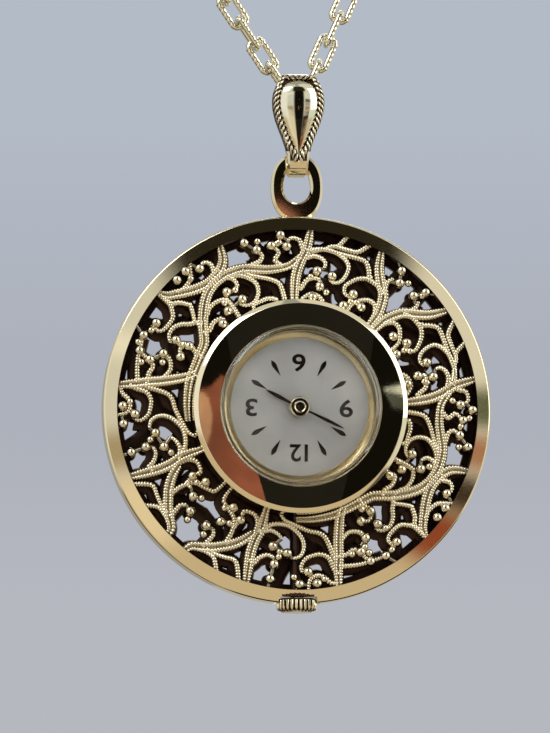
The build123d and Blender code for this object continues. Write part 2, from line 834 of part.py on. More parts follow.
# Bail: a strap folded into a tube above and round the loop's bar below
bend_at = bar_under + bend_r - link_gap
tube_out = tube_in_r + bail_strap
tube_at = bail_top - tube_out
shoulder_drop, waist_drop, low_drop = 3.4, 8.2, 11.8
dome_drop, tip_drop, tip_r = 3.1, 8.9, 0.3
shoulder_z, waist_z, low_z = bail_top - shoulder_drop, bail_top - waist_drop, bail_top - low_drop
dome_at, dome_tip = bail_top - dome_drop, bail_top - tip_drop
fold_front = mid + tube_in_r
strap_w = 1.9
with BuildPart() as bail_outline:
    with BuildSketch(facing(mid - tube_out)):
        with Locations((0, bail_top)):
            Rectangle(strap_w, bail_top)
    extrude(amount=tube_out + tube_out)
    with BuildSketch(facing(fold_front)):
        with BuildLine():
            Polyline(
                (-bail_tab / 2, low_z),
                (-bail_tab / 2, waist_z),
                (-bail_w / 2, shoulder_z),
                (-bail_w / 2, bail_top),
                (bail_w / 2, bail_top),
                (bail_w / 2, shoulder_z),
                (bail_tab / 2, waist_z),
                (bail_tab / 2, low_z),
                close=True,
            )
        make_face()
    extrude(amount=tube_out)
with BuildPart() as bail:
    with BuildSketch(Plane.YZ.offset(-bail_w / 2)):
        with Locations((-mid, tube_at)):
            Circle(tube_out)
        with Locations((-mid, bend_at)):
            Circle(bend_r + bail_bend)
        make_hull()
    extrude(amount=bail_w)
    with BuildSketch(Plane.YZ.offset(-bail_w / 2)):
        with Locations((-mid, tube_at)):
            Circle(tube_in_r)
        with Locations((-mid, bend_at)):
            Circle(bend_r)
        make_hull()
    extrude(amount=bail_w, mode=Mode.SUBTRACT)
    add(bail_outline.part, mode=Mode.INTERSECT)
    with BuildSketch(facing(mid + tube_out - dome_deep)):
        with Locations((0, dome_at)):
            Circle(dome_w / 2)
        with Locations((0, dome_tip)):
            pin(tip_r)
        make_hull()
    extrude(amount=dome_deep + dome_deep)
save(bail, "bail")

# Chain: oval links with cut edges, each a quarter turn from the next
in_corner = 0.3
out_corner = in_corner + link_wire + link_wire - math.hypot(link_wire, link_wire)


def long_octagon(length, width, corner):
    with BuildLine() as outline:
        Polyline(
            (-length / 2, -width / 2 + corner),
            (-length / 2 + corner, -width / 2),
            (length / 2 - corner, -width / 2),
            (length / 2, -width / 2 + corner),
            (length / 2, width / 2 - corner),
            (length / 2 - corner, width / 2),
            (-length / 2 + corner, width / 2),
            (-length / 2, width / 2 - corner),
            close=True,
        )
    return make_face(outline.edges(), mode=Mode.PRIVATE)


with BuildPart() as link:
    with BuildSketch(Plane.XY.offset(-link_wire / 2)):
        add(long_octagon(link_in + link_wire + link_wire, link_w, out_corner))
        add(
            long_octagon(link_in, link_w - link_wire - link_wire, in_corner),
            mode=Mode.SUBTRACT,
        )
    extrude(amount=link_wire)
    inner_rims = [face.inner_wires()[0].edges() for face in link.faces().filter_by(Plane.XY)]
    chamfer(inner_rims[0] + inner_rims[1], length=link_cut)

link_pitch = link_in - link_seat
hook_at = link_in / 2 - link_hook
link_z = bail_top - bail_strap - link_gap - link_w / 2


def strand(side, lean, first, last):
    """Links first to last on one side, leaning from the vertical, seen from the front."""
    tilt = math.radians(lean)
    way = (side * math.sin(tilt), math.cos(tilt))
    places = []
    for number in range(first, last):
        reach = number * link_pitch + (link_in + link_wire) / 2
        spot = (side * hook_at + reach * way[0], -mid, link_z + reach * way[1])
        turned = number % 2 == 0
        normal = (-way[1], 0, way[0]) if turned else (0, -1, 0)
        places.append(Plane(origin=spot, x_dir=(way[0], 0, way[1]), z_dir=normal))
    return places


def links(places):
    with BuildPart() as built:
        with Locations(*places):
            add(link.part)
    return built


middle_link = links([Plane(origin=(0, -mid, link_z), x_dir=(1, 0, 0), z_dir=(0, -1, 0))])
save(middle_link, "chain_middle")
save(links(strand(-1, left_lean, 0, link_count)), "chain_left")
save(links(strand(1, right_lean, 0, link_count)), "chain_right")
held = strand(-1, left_lean, link_count, link_count + 1)
held += strand(1, right_lean, link_count, link_count + 1)
save(links(held), "chain_held")
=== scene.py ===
"""Pendant watch on a chain: the visible pieces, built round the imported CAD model."""

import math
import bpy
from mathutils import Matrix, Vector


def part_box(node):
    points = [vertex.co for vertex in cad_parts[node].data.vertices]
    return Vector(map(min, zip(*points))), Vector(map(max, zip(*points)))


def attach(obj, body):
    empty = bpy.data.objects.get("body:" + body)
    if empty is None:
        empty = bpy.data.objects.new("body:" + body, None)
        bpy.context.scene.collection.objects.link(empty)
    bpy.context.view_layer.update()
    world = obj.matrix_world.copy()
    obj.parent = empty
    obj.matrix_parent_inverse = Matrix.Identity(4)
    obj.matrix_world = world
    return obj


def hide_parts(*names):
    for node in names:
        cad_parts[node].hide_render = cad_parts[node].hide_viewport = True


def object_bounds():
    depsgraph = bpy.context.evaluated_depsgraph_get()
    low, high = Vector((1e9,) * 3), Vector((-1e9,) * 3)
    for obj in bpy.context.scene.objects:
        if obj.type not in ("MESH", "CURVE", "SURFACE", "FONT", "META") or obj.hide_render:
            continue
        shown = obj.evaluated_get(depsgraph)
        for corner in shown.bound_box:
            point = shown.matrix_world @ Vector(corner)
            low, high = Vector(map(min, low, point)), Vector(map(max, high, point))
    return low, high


bl_info = {
    "name": "Pendant watch",
    "version": (1, 0, 0),
    "blender": (4, 5, 0),
    "location": "3D View > Sidebar > Watch",
    "description": "Builds the pieces and finishes of a pendant watch round its CAD frame",
    "category": "Object",
}

import bmesh
import bpy
import numpy as np
from bpy.props import FloatProperty, FloatVectorProperty, IntProperty, PointerProperty
from bpy.types import Operator, Panel, PropertyGroup
from mathutils import Vector

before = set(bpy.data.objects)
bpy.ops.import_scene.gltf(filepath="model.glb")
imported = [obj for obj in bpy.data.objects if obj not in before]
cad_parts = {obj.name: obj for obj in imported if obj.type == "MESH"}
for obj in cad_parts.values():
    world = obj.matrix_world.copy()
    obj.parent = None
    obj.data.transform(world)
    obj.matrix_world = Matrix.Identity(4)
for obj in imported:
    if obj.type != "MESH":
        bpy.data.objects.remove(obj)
cad_box = [list(corner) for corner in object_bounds()]

MM = 0.001
FRONT = Vector((0, -1, 0))


def linear(code):
    """Linear colour of an sRGB hex value."""
    parts = [int(code[i : i + 2], 16) / 255 for i in (1, 3, 5)]
    return [c / 12.92 if c <= 0.04045 else ((c + 0.055) / 1.055) ** 2.4 for c in parts]


def length(name, about, millimetres):
    return FloatProperty(name=name, description=about, default=millimetres * MM, unit="LENGTH", precision=5)


def direction(name, about, degrees):
    return FloatProperty(name=name, description=about, default=math.radians(degrees), subtype="ANGLE")


def number(name, about, default):
    return FloatProperty(name=name, description=about, default=default)


def tint(name, about, code):
    return FloatVectorProperty(
        name=name, description=about, default=linear(code), subtype="COLOR", size=3, min=0, max=1
    )


def reach_of(node):
    """Radius of a round CAD node about the watch's axis."""
    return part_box(node)[1].x


def front_of(node):
    """Depth of a CAD node's front."""
    return -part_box(node)[0].y


def back_of(node):
    """Depth of a CAD node's back."""
    return -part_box(node)[1].y


class CaseSizes(PropertyGroup):
    """Rim, drum, back and crystal."""

    rim_face: length("Rim face", "Width of the rim's polished face", 1.5)
    rim_bevel: length("Rim bevel", "Bright bevel on the rim's outer edge", 0.16)
    rim_fall: length("Rim fall", "How far the rim's face falls toward its outer edge", 0.26)
    drum_bevel: length("Bezel bevel", "Width of the bright bevel round the bezel", 0.5)
    drum_fall: length("Bezel fall", "How far that bevel falls to the drum's side", 0.3)
    soft_edge: length("Soft edge", "Rounding of polished edges", 0.05)
    seat_depth: length("Crystal seat", "Depth of the crystal's seat", 6.9)
    crystal_wall: length("Crystal wall", "Thickness of the crystal's edge", 0.32)
    crystal_edge: length("Crystal edge", "Depth of the crystal's standing edge", 9.2)
    crystal_under: length("Crystal underside", "Depth of the crystal's underside", 8.5)
    view_r: length("Dial view", "Radius of the dial that shows", 7.25)
    notch_deep: length("Crown notch", "Depth of the scallop for the crown", 0.75)
    notch_gap: length("Notch gap", "Room round the crown in its scallop", 0.3)
    round_steps: IntProperty(name="Round steps", description="Faces round the case", default=240)


class ScrollSizes(PropertyGroup):
    """Pierced plates."""

    mirror_axis: direction("Mirror axis", "Direction that both halves of the scrollwork mirror about", 48)
    strand_w: length("Strand", "Width of one beaded strand", 0.64)
    pair_w: length("Pair spacing", "Distance between the two outer rows of a stem", 0.62)
    strand_high: length("Strand height", "Height of a strand over the plate's back", 0.62)
    bead_pitch: length("Bead pitch", "Distance between beads", 0.31)
    bead_high: length("Bead height", "How far a bead stands over its groove", 0.16)
    berry_r: length("Granule", "Radius of a polished granule", 0.55)
    bar_w: length("Back bar", "Width of the back plate's bars", 1.8)
    band_w: length("Back band", "Width of the back plate's inner and outer bands", 0.7)
    ring_in_px: number("Ring inside", "Traced ring's inside, pixels", 107)
    ring_out_px: number("Ring outside", "Traced ring's outside, pixels", 180)


class DialSizes(PropertyGroup):
    """Dial and hands."""

    figure_high: length("Figure height", "Height of the dial's figures", 1.8)
    figure_wide: number("Figure spread", "How far figures are widened", 1.22)
    figure_bold: length("Figure weight", "What is added round each stroke", 0.045)
    figure_reach: length("Figure reach", "Distance of the figures from the middle", 4.68)
    side_reach: length("Side figure reach", "Distance of the 3 and 9 from the middle", 4.92)
    marker_in: length("Marker inner end", "Where a leaf marker starts", 3.85)
    marker_out: length("Marker outer end", "Where a leaf marker ends", 5.7)
    marker_w: length("Marker width", "Widest part of a leaf marker", 0.5)
    mark_high: length("Mark height", "How far marks stand over the dial", 0.05)
    hour_way: direction("Hour hand", "Direction of the hour hand", 152.3)
    minute_way: direction("Minute hand", "Direction of the minute hand", -25.4)
    hour_reach: length("Hour reach", "Length of the hour hand", 3.9)
    minute_reach: length("Minute reach", "Length of the minute hand", 5.15)
    hour_w: length("Hour hand width", "Widest part of the hour hand", 0.42)
    minute_w: length("Minute hand width", "Widest part of the minute hand", 0.36)
    hub_r: length("Hub", "Radius of the hands' hub", 1.1)
    hole_r: length("Dial hole", "Radius of the dial's hole for the hands", 0.75)
    hour_bore: length("Hour bore", "Radius of the hole in the hour hand's hub", 0.58)
    minute_bore: length("Minute bore", "Radius of the hole in the minute hand's hub", 0.37)


class HangSizes(PropertyGroup):
    """Crown, loop, bail and chain."""

    knurls: IntProperty(name="Knurls", description="Ridges round the crown", default=26)
    knurl_deep: length("Knurl depth", "Depth of the crown's grooves", 0.24)
    tube_r: length("Stem tube", "Radius of the tube for the stem", 0.75)
    loop_h: length("Loop height", "Outside height of the loop", 7.3)
    loop_sink: length("Loop seat", "How deep the loop's foot goes into the rim's edge", 0.3)
    loop_power: number("Loop fullness", "2 is an ellipse, more is squarer", 2.3)
    loop_hole_w: length("Loop opening width", "Width of the loop's opening", 3.0)
    loop_hole_h: length("Loop opening height", "Height of the loop's opening", 4.9)
    loop_foot: number("Loop foot", "Share of the opening's lower half left open", 0.7)
    loop_edge: length("Loop bevel", "Bright bevel on the loop's edges", 0.26)
    strap_w: length("Strap width", "Width of the strap behind", 1.9)
    strap_thick: length("Strap thickness", "Thickness of the bail's strap", 0.7)
    tab_w: length("Tab width", "Width of the tab round the loop", 2.3)
    tube_in: length("Bail tube", "Inner radius of the fold that holds the chain", 1.5)
    bend_in: length("Bail bend", "Inner radius of the bend round the loop", 1.0)
    bend_thick: length("Bend thickness", "Thickness of the bend round the loop", 1.2)
    bend_z: length("Bend height", "Height of the bend's middle", 27.65)
    dome_high: length("Drop height", "How far the polished drop stands proud", 0.85)
    rope_r: length("Rope radius", "Radius of the rope edge", 0.345)
    rope_pitch: length("Rope pitch", "Distance between the rope's turns", 0.58)
    link_wire: length("Link wire", "Thickness of a link's wire", 0.7)
    link_long: length("Link length", "Outside length of a link", 4.45)
    link_w: length("Link width", "Outside width of a link", 2.46)
    link_round: number("Link ends", "1 is a half circle, less is squarer", 0.7)
    cut_pitch: length("Cut pitch", "Distance between a link's diagonal cuts", 0.6)
    cut_share: number("Cut depth", "Share of the wire that a cut takes", 0.2)


class FinishColours(PropertyGroup):
    """Colours of the finishes."""

    gold: tint("Polished plate", "Pale gold plate on rim, bezel, loop and bail", "#E8DDC0")
    scroll: tint("Scroll plate", "Gold on top of the cast scrollwork", "#D8CFB8")
    # The recess colour darkens the hollows of the scrollwork, rope and chain: painted shade, taken partly as
    # oxidation
    recess: tint("Recess", "Dark oxide left in the scrollwork's recesses", "#2E2118")
    # The back plate colour is near black: painted shade on the plate behind the scrollwork, taken partly as
    # oxidation, and on walls, grooves and hollows in shade
    back_plate: tint("Back plate", "Oxidised plate behind the scrollwork", "#3B2A22")
    chain_gold: tint("Chain", "Pale gold plate on the chain", "#E2DEC9")
    ring_gold: tint("Reflector ring", "Yellow gold ring inside the crystal", "#E6D3A6")
    dial: tint("Dial", "Satin silver of the dial", "#DFDDD9")
    print: tint("Print", "Black of the dial's marks", "#080605")
    # The print glint colour is a painted glint, mixed into the black print in patches
    print_glint: tint("Print edge", "Copper that glints on the marks", "#8A5236")
    background: tint("Background", "Grey blue behind the watch", "#ADB1BB")
    floor: tint("Floor", "Pale floor", "#C4C7CE")


def sizes(group):
    return getattr(bpy.context.scene, group)


def feed(tree, node, inputs):
    """Sets a node's inputs; each is a value or the socket that feeds it."""
    for key, value in inputs.items():
        if isinstance(value, bpy.types.NodeSocket):
            tree.links.new(value, node.inputs[key])
        else:
            node.inputs[key].default_value = value


def add_node(tree, kind, inputs=None, out=0, **settings):
    """Adds a node with its settings and links; returns one output, or the node if out is None."""
    made = tree.nodes.new(kind)
    for key, value in settings.items():
        setattr(made, key, value)
    feed(tree, made, inputs or {})
    return made if out is None else made.outputs[out]


def finish(values):
    """Turns a function that gives a Principled shader's values into one that makes the material."""

    def made(name, *details, **more):
        material = bpy.data.materials.new(name)
        material.use_nodes = True
        tree = material.node_tree
        feed(tree, tree.nodes["Principled BSDF"], values(tree, *details, **more))
        return material

    return made


def grain(tree, size, low=None, high=None, detail=3, stretch=(1, 1, 1)):
    """Noise whose blotches are about size across, in real lengths, spread from low to high if given."""
    place = add_node(tree, "ShaderNodeTexCoord", out="Object")
    mapped = add_node(tree, "ShaderNodeMapping", {"Vector": place, "Scale": stretch})
    noise = add_node(
        tree, "ShaderNodeTexNoise", {"Vector": mapped, "Scale": 1 / size, "Detail": detail}, "Fac"
    )
    if low is None:
        return noise
    # Nearly all of the noise lies between these two values
    spread = {"Value": noise, "From Min": 0.3, "From Max": 0.7, "To Min": low, "To Max": high}
    return add_node(tree, "ShaderNodeMapRange", spread)


def shade(colour, factor=1):
    return (*(channel * factor for channel in colour), 1)


# Sockets of a colour mix: share, first colour, second colour, and the mix itself
SHARE, FIRST, SECOND, MIX = 0, 6, 7, 2


def mottle(tree, colour, dark, bright, *grain_of):
    """A colour that wanders between a darker and a brighter shade of itself with a grain."""
    colours = {SHARE: grain(tree, *grain_of), FIRST: shade(colour, dark), SECOND: shade(colour, bright)}
    return add_node(tree, "ShaderNodeMix", colours, MIX, data_type="RGBA")


@finish
def gold_plate(tree, colour, rough=0.07, wear=0.05, hairline=0.35 * MM, ripple=0.0006 * MM):
    """Gold plate on brass, buffed: mirror clear, with faint hairlines from wear."""
    along = (1, 1, 5)
    lines = {"Height": grain(tree, hairline, detail=6, stretch=along), "Distance": ripple, "Strength": 1.0}
    return {
        "Base Color": mottle(tree, colour, 0.95, 1, 6 * MM),
        "Metallic": 1.0,
        "Roughness": grain(tree, hairline, rough, rough + wear, 6, along),
        "Normal": add_node(tree, "ShaderNodeBump", lines),
    }


@finish
def cast_scroll_plate(tree, gleam):
    """Cast brass, plated: bright on top, brown black lower down, a painted shade of its recesses that is taken
    partly as oxidation.
    """
    palette = sizes("watch_colours")
    top, low = front_of("filigree_front"), back_of("filigree_front")
    # Painted shade: the colour runs from the recess colour at the plate's lower depths to the scroll gold at its
    # top, broken up by a grain
    dark_share, bright_share = 0.3, 0.78
    place = add_node(tree, "ShaderNodeTexCoord", out="Object")
    rise = add_node(tree, "ShaderNodeMapRange", {
        "Value": add_node(tree, "ShaderNodeSeparateXYZ", {"Vector": place}, "Y"),
        "From Min": -(low + (top - low) * dark_share),
        "From Max": -(low + (top - low) * bright_share),
    })
    patchy = {0: rise, 1: grain(tree, 2.5 * MM, -0.12, 0.1)}
    bright = add_node(tree, "ShaderNodeMath", patchy, operation="ADD", use_clamp=True)
    colours = {SHARE: bright, FIRST: shade(palette.recess), SECOND: shade(palette.scroll)}
    cast = {"Height": grain(tree, 0.12 * MM), "Distance": 0.004 * MM, "Strength": 1.0}
    return {
        "Base Color": add_node(tree, "ShaderNodeMix", colours, MIX, data_type="RGBA"),
        "Metallic": 1.0,
        "Roughness": add_node(tree, "ShaderNodeMapRange", {"Value": bright, "To Min": 0.5, "To Max": gleam}),
        "Normal": add_node(tree, "ShaderNodeBump", cast),
    }


@finish
def shade_and_oxidation_plate(tree):
    """Near black brass, smooth from casting, with a warm soft gleam: painted shade on walls, grooves and hollows,
    and on the plate behind the scrollwork, where it is taken partly as oxidation.
    """
    cast = {"Height": grain(tree, 0.2 * MM), "Distance": 0.006 * MM, "Strength": 1.0}
    return {
        "Base Color": mottle(tree, sizes("watch_colours").back_plate, 0.55, 1.35, 1.6 * MM),
        "Metallic": 0.9,
        "Roughness": grain(tree, 1.6 * MM, 0.26, 0.44),
        "Normal": add_node(tree, "ShaderNodeBump", cast),
    }


@finish
def clear_acrylic(tree):
    """Moulded acrylic, polished: clear, with a soft thick edge."""
    return {
        "Base Color": (1, 1, 1, 1),
        "Roughness": grain(tree, 3 * MM, 0.0, 0.02),
        "IOR": 1.49,
        "Transmission Weight": 1.0,
    }


@finish
def satin_silver(tree):
    """Silvered brass dial with a satin brushing that runs up and down."""
    along = (1, 1, 0.06)
    brushed = {
        "Height": grain(tree, 0.1 * MM, detail=4, stretch=along), "Distance": 0.0015 * MM, "Strength": 1.0
    }
    return {
        "Base Color": mottle(tree, sizes("watch_colours").dial, 0.84, 1.08, 5 * MM, 0, 1),
        "Metallic": 0.6,
        "Roughness": grain(tree, 0.1 * MM, 0.36, 0.5, 4, along),
        "Normal": add_node(tree, "ShaderNodeBump", brushed),
    }


@finish
def glossy_print(tree):
    """Raised lacquer print over copper: black, with a warm copper glint painted into its colour in patches."""
    palette = sizes("watch_colours")
    # Painted glint: a grain picks the patches where the black turns toward the glint colour
    glint = grain(tree, 1.2 * MM, 0, 0.14)
    colours = {SHARE: glint, FIRST: shade(palette.print), SECOND: shade(palette.print_glint)}
    return {
        "Base Color": add_node(tree, "ShaderNodeMix", colours, MIX, data_type="RGBA"),
        "Metallic": 0.1,
        "Roughness": 0.3,
        "Specular IOR Level": 0.2,
    }


@finish
def movement_metal(tree, code, rough):
    """Machined metal of the movement, fine grained and matt."""
    size, along = 0.15 * MM, (1, 1, 0.1)
    return {
        "Base Color": mottle(tree, linear(code), 0.9, 1, size, None, None, 3, along),
        "Metallic": 1.0,
        "Roughness": grain(tree, size, rough, rough + 0.1, 3, along),
    }


@finish
def ruby(tree):
    """Synthetic ruby, polished: deep red and glassy."""
    spots = grain(tree, 0.5 * MM)
    colours = {SHARE: spots, FIRST: shade(linear("#8C0F2A")), SECOND: shade(linear("#B31B3A"))}
    return {
        "Base Color": add_node(tree, "ShaderNodeMix", colours, MIX, data_type="RGBA"),
        "Roughness": 0.05,
        "IOR": 1.76,
    }


@finish
def cut_gold(tree, colour, rough, hollow_at, ridge_at):
    """Gold with painted shade between its ridges or cuts, taken partly as oxidation: bright ridges, dark grooves."""
    # Painted shade: the more hollow the surface, by its pointiness, the nearer its colour comes to the recess colour
    hollow = add_node(tree, "ShaderNodeNewGeometry", out="Pointiness")
    ends = {"Value": hollow, "From Min": hollow_at, "From Max": ridge_at}
    rise = add_node(tree, "ShaderNodeMapRange", ends)
    colours = {SHARE: rise, FIRST: shade(sizes("watch_colours").recess), SECOND: shade(colour)}
    return {
        "Base Color": add_node(tree, "ShaderNodeMix", colours, MIX, data_type="RGBA"),
        "Metallic": 1.0,
        "Roughness": grain(tree, 0.4 * MM, rough, rough + 0.1),
    }


@finish
def floor_paper(tree, colour):
    """Matt paper under the watch: pale, with a faint cloud."""
    return {"Base Color": mottle(tree, colour, 0.97, 1, 90 * MM), "Roughness": 0.8}


@finish
def card_paper(tree, code, glow):
    """Painted card that only glows: uneven, as things seen in a mirror are."""
    return {
        "Base Color": (0, 0, 0, 1),
        "Roughness": 0.9,
        "Emission Color": mottle(tree, linear(code), 0.55, 1, 9 * MM, 0, 1, 5),
        "Emission Strength": glow,
    }


# Distance under which two points of a mesh are joined
WELD = 0.0005 * MM


def heading(angle):
    """Way across the dial's plane, anticlockwise from the right as seen from the front."""
    return Vector((math.cos(angle), 0, math.sin(angle)))


def turns(count):
    """Angles of one full turn in equal steps."""
    return [2 * math.pi * step / count for step in range(count)]


class Shape:
    """Vertices and faces of a piece while it is put together."""

    def __init__(self):
        self.points = []
        self.faces = []

    def rings(self, rings, closed=False):
        """Joins rings of equal length; closed joins the last to the first, otherwise both ends get a cap."""
        start, count = len(self.points), len(rings[0])
        for ring in rings:
            self.points.extend(ring)
        for i in range(len(rings) if closed else len(rings) - 1):
            here, there = start + i * count, start + (i + 1) % len(rings) * count
            for j in range(count):
                k = (j + 1) % count
                self.faces.append((here + j, here + k, there + k, there + j))
        if not closed:
            last = start + (len(rings) - 1) * count
            self.faces.append(tuple(start + j for j in reversed(range(count))))
            self.faces.append(tuple(last + j for j in range(count)))
        return self


def linked(name, data):
    """New object in the scene for a mesh, a curve, a lamp or a camera."""
    made = bpy.data.objects.new(name, data)
    bpy.context.scene.collection.objects.link(made)
    return made


def mesh_of(name, points, faces):
    mesh = bpy.data.meshes.new(name)
    mesh.from_pydata([tuple(p) for p in points], [], faces)
    return mesh


def welded(mesh, thinned=False):
    """Joins points that coincide and turns every face outward; thinned drops faces without area too."""
    work = bmesh.new()
    work.from_mesh(mesh)
    bmesh.ops.remove_doubles(work, verts=work.verts, dist=WELD)
    if thinned:
        bmesh.ops.dissolve_degenerate(work, edges=work.edges, dist=WELD)
    bmesh.ops.recalc_face_normals(work, faces=work.faces)
    work.to_mesh(mesh)
    work.free()
    return mesh


def evaluated(made):
    """Mesh of an object with its modifiers or its text made real."""
    bpy.context.view_layer.update()
    return bpy.data.meshes.new_from_object(made.evaluated_get(bpy.context.evaluated_depsgraph_get()))


def piece(name, shape, material, body, replaced=(), sharp=34):
    """Object from a shape, with its finish, on its CAD body; edges over sharp degrees stay sharp."""
    mesh = welded(mesh_of(name, shape.points, shape.faces))
    mesh.shade_smooth()
    mesh.set_sharp_from_angle(angle=math.radians(sharp))
    mesh.materials.append(material)
    made = linked(name, mesh)
    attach(made, body)
    keep_flats(made)
    if replaced:
        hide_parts(*replaced)
    return made


def second_finish(made, material, chosen):
    """Gives one more finish to the faces that are chosen by their middle and its reach."""
    made.data.materials.append(material)
    for face in made.data.polygons:
        if chosen(face.center, Vector((face.center.x, face.center.z)).length):
            face.material_index = len(made.data.materials) - 1


def keep_flats(made):
    """Shades wide faces flat beside their small roundings."""
    made.modifiers.new("flats", "WEIGHTED_NORMAL").keep_sharp = True


def rounded(corners, radius, steps=4):
    """Closed outline whose corners are rounded off by radius."""
    outline = []
    for i, corner in enumerate(corners):
        here = Vector(corner)
        ends = []
        for other in (corners[i - 1], corners[(i + 1) % len(corners)]):
            way = Vector(other) - here
            ends.append(here + way.normalized() * min(radius, way.length * 0.45))
        for step in range(steps + 1):
            t = step / steps
            outline.append(tuple((1 - t) ** 2 * ends[0] + 2 * t * (1 - t) * here + t**2 * ends[1]))
    return outline


def turned(outline, steps=0, place=Vector()):
    """Rings turned about the watch's axis, or a parallel one; an outline point is reach and depth."""
    return [
        [place + heading(angle) * reach + FRONT * depth for reach, depth in outline]
        for angle in turns(steps or sizes("watch_case").round_steps)
    ]


def turned_piece(name, outline, material, *settings, steps=0):
    """Piece turned about the watch's axis; its settings are those of piece."""
    return piece(name, Shape().rings(turned(outline, steps), closed=True), material, *settings)


def turned_up(outline, steps, centre_y, ripple=lambda angle: 0):
    """Rings of a piece turned about an upright axis; an outline point is reach and height."""
    middle = Vector((0, centre_y, 0))
    rings = []
    for angle in turns(steps):
        drop = ripple(angle)
        way = Vector((math.cos(angle), math.sin(angle), 0))
        rings.append([
            middle + way * max(reach - drop * (reach > 0), 0) + Vector((0, 0, z)) for reach, z in outline
        ])
    return rings


def smooth_line(points, step, closed=False):
    """Evenly spaced points on a smooth curve through the given ones."""
    count = len(points)
    dense = []
    for i in range(count if closed else count - 1):
        if closed:
            a, b, c, d = (points[(i + k) % count] for k in (-1, 0, 1, 2))
        else:
            b, c = points[i], points[i + 1]
            a = points[i - 1] if i else b + (b - c)
            d = points[i + 2] if i + 2 < count else c + (c - b)
        for part in range(12):
            t = part / 12
            bend, twist = 2 * a - 5 * b + 4 * c - d, 3 * b - a - 3 * c + d
            dense.append(0.5 * (2 * b + (c - a) * t + bend * t**2 + twist * t**3))
    dense.append(points[0] if closed else points[-1])
    gone = [0]
    for p, q in zip(dense, dense[1:]):
        gone.append(gone[-1] + (q - p).length)
    total = max(2, round(gone[-1] / step))
    line, at = [], 0
    for i in range(total if closed else total + 1):
        want = gone[-1] * i / total
        while at < len(dense) - 2 and gone[at + 1] < want:
            at += 1
        span = gone[at + 1] - gone[at] or 1
        line.append(dense[at].lerp(dense[at + 1], (want - gone[at]) / span))
    return line


def swept(shape, line, section, up, closed=False, shift=0):
    """Sweeps a section along a line; section(travel, share) gives side and height pairs."""
    rings, travel = [], 0
    count = len(line)
    for i, point in enumerate(line):
        before = line[i - 1] if i or closed else point
        after = line[(i + 1) % count] if i + 1 < count or closed else point
        tangent = (after - before).normalized()
        raised = up(i) if callable(up) else up
        side = tangent.cross(raised).normalized()
        if i:
            travel += (point - line[i - 1]).length
        share = i / max(count - 1, 1)
        centre = point + side * (shift(share) if callable(shift) else shift)
        rings.append([centre + side * u + raised * v for u, v in section(travel, share)])
    shape.rings(rings, closed=closed)


def bead(travel, pitch):
    """Height share of a row of beads, one at each pitch."""
    return math.sqrt(max(0, 1 - (2 * (travel / pitch % 1) - 1) ** 2))


# Scrollwork read from the photograph: degrees from the mirror axis, reach in pixels
STEMS = (
    ((1.5, 105), (2, 124), (3.3, 134), (5.3, 144), (8.5, 152), (11.3, 161), (12.8, 169), (14.2, 182)),
    ((37.8, 182), (38.4, 168), (39, 159), (40.7, 149.5), (42.2, 139), (43.2, 127.5), (44, 105)),
    ((40.9, 154), (43.4, 148), (46, 144), (50, 142.5), (54, 143), (58.4, 146), (62, 149.5), (66, 151.5),
     (70.5, 152), (74.7, 151), (78, 148.5), (81.3, 144.5), (84.7, 138.5), (88, 132), (91, 126), (94, 119.5),
     (97.5, 114), (102, 112), (108, 111), (114, 111), (120, 111.5), (130, 111), (139, 110.5)),
    ((67.6, 182), (68.6, 168.5), (70.5, 161), (73.7, 156.3), (77.4, 154), (81.3, 155.5), (85.1, 159.8),
     (88.4, 165.5), (91.3, 172), (92.8, 182)),
    ((125, 182), (123.9, 165), (122.6, 153), (121.1, 139), (119, 126), (116, 114), (112, 106)),
    ((154.5, 182), (155.5, 163), (156.1, 150.5), (156, 138), (155, 125.5), (155.3, 105)),
    ((157.8, 131.5), (160.5, 142), (163.6, 150.5), (166.8, 157.3), (169.9, 163.8), (172.8, 168.8),
     (175.5, 174), (176.5, 182)),
)
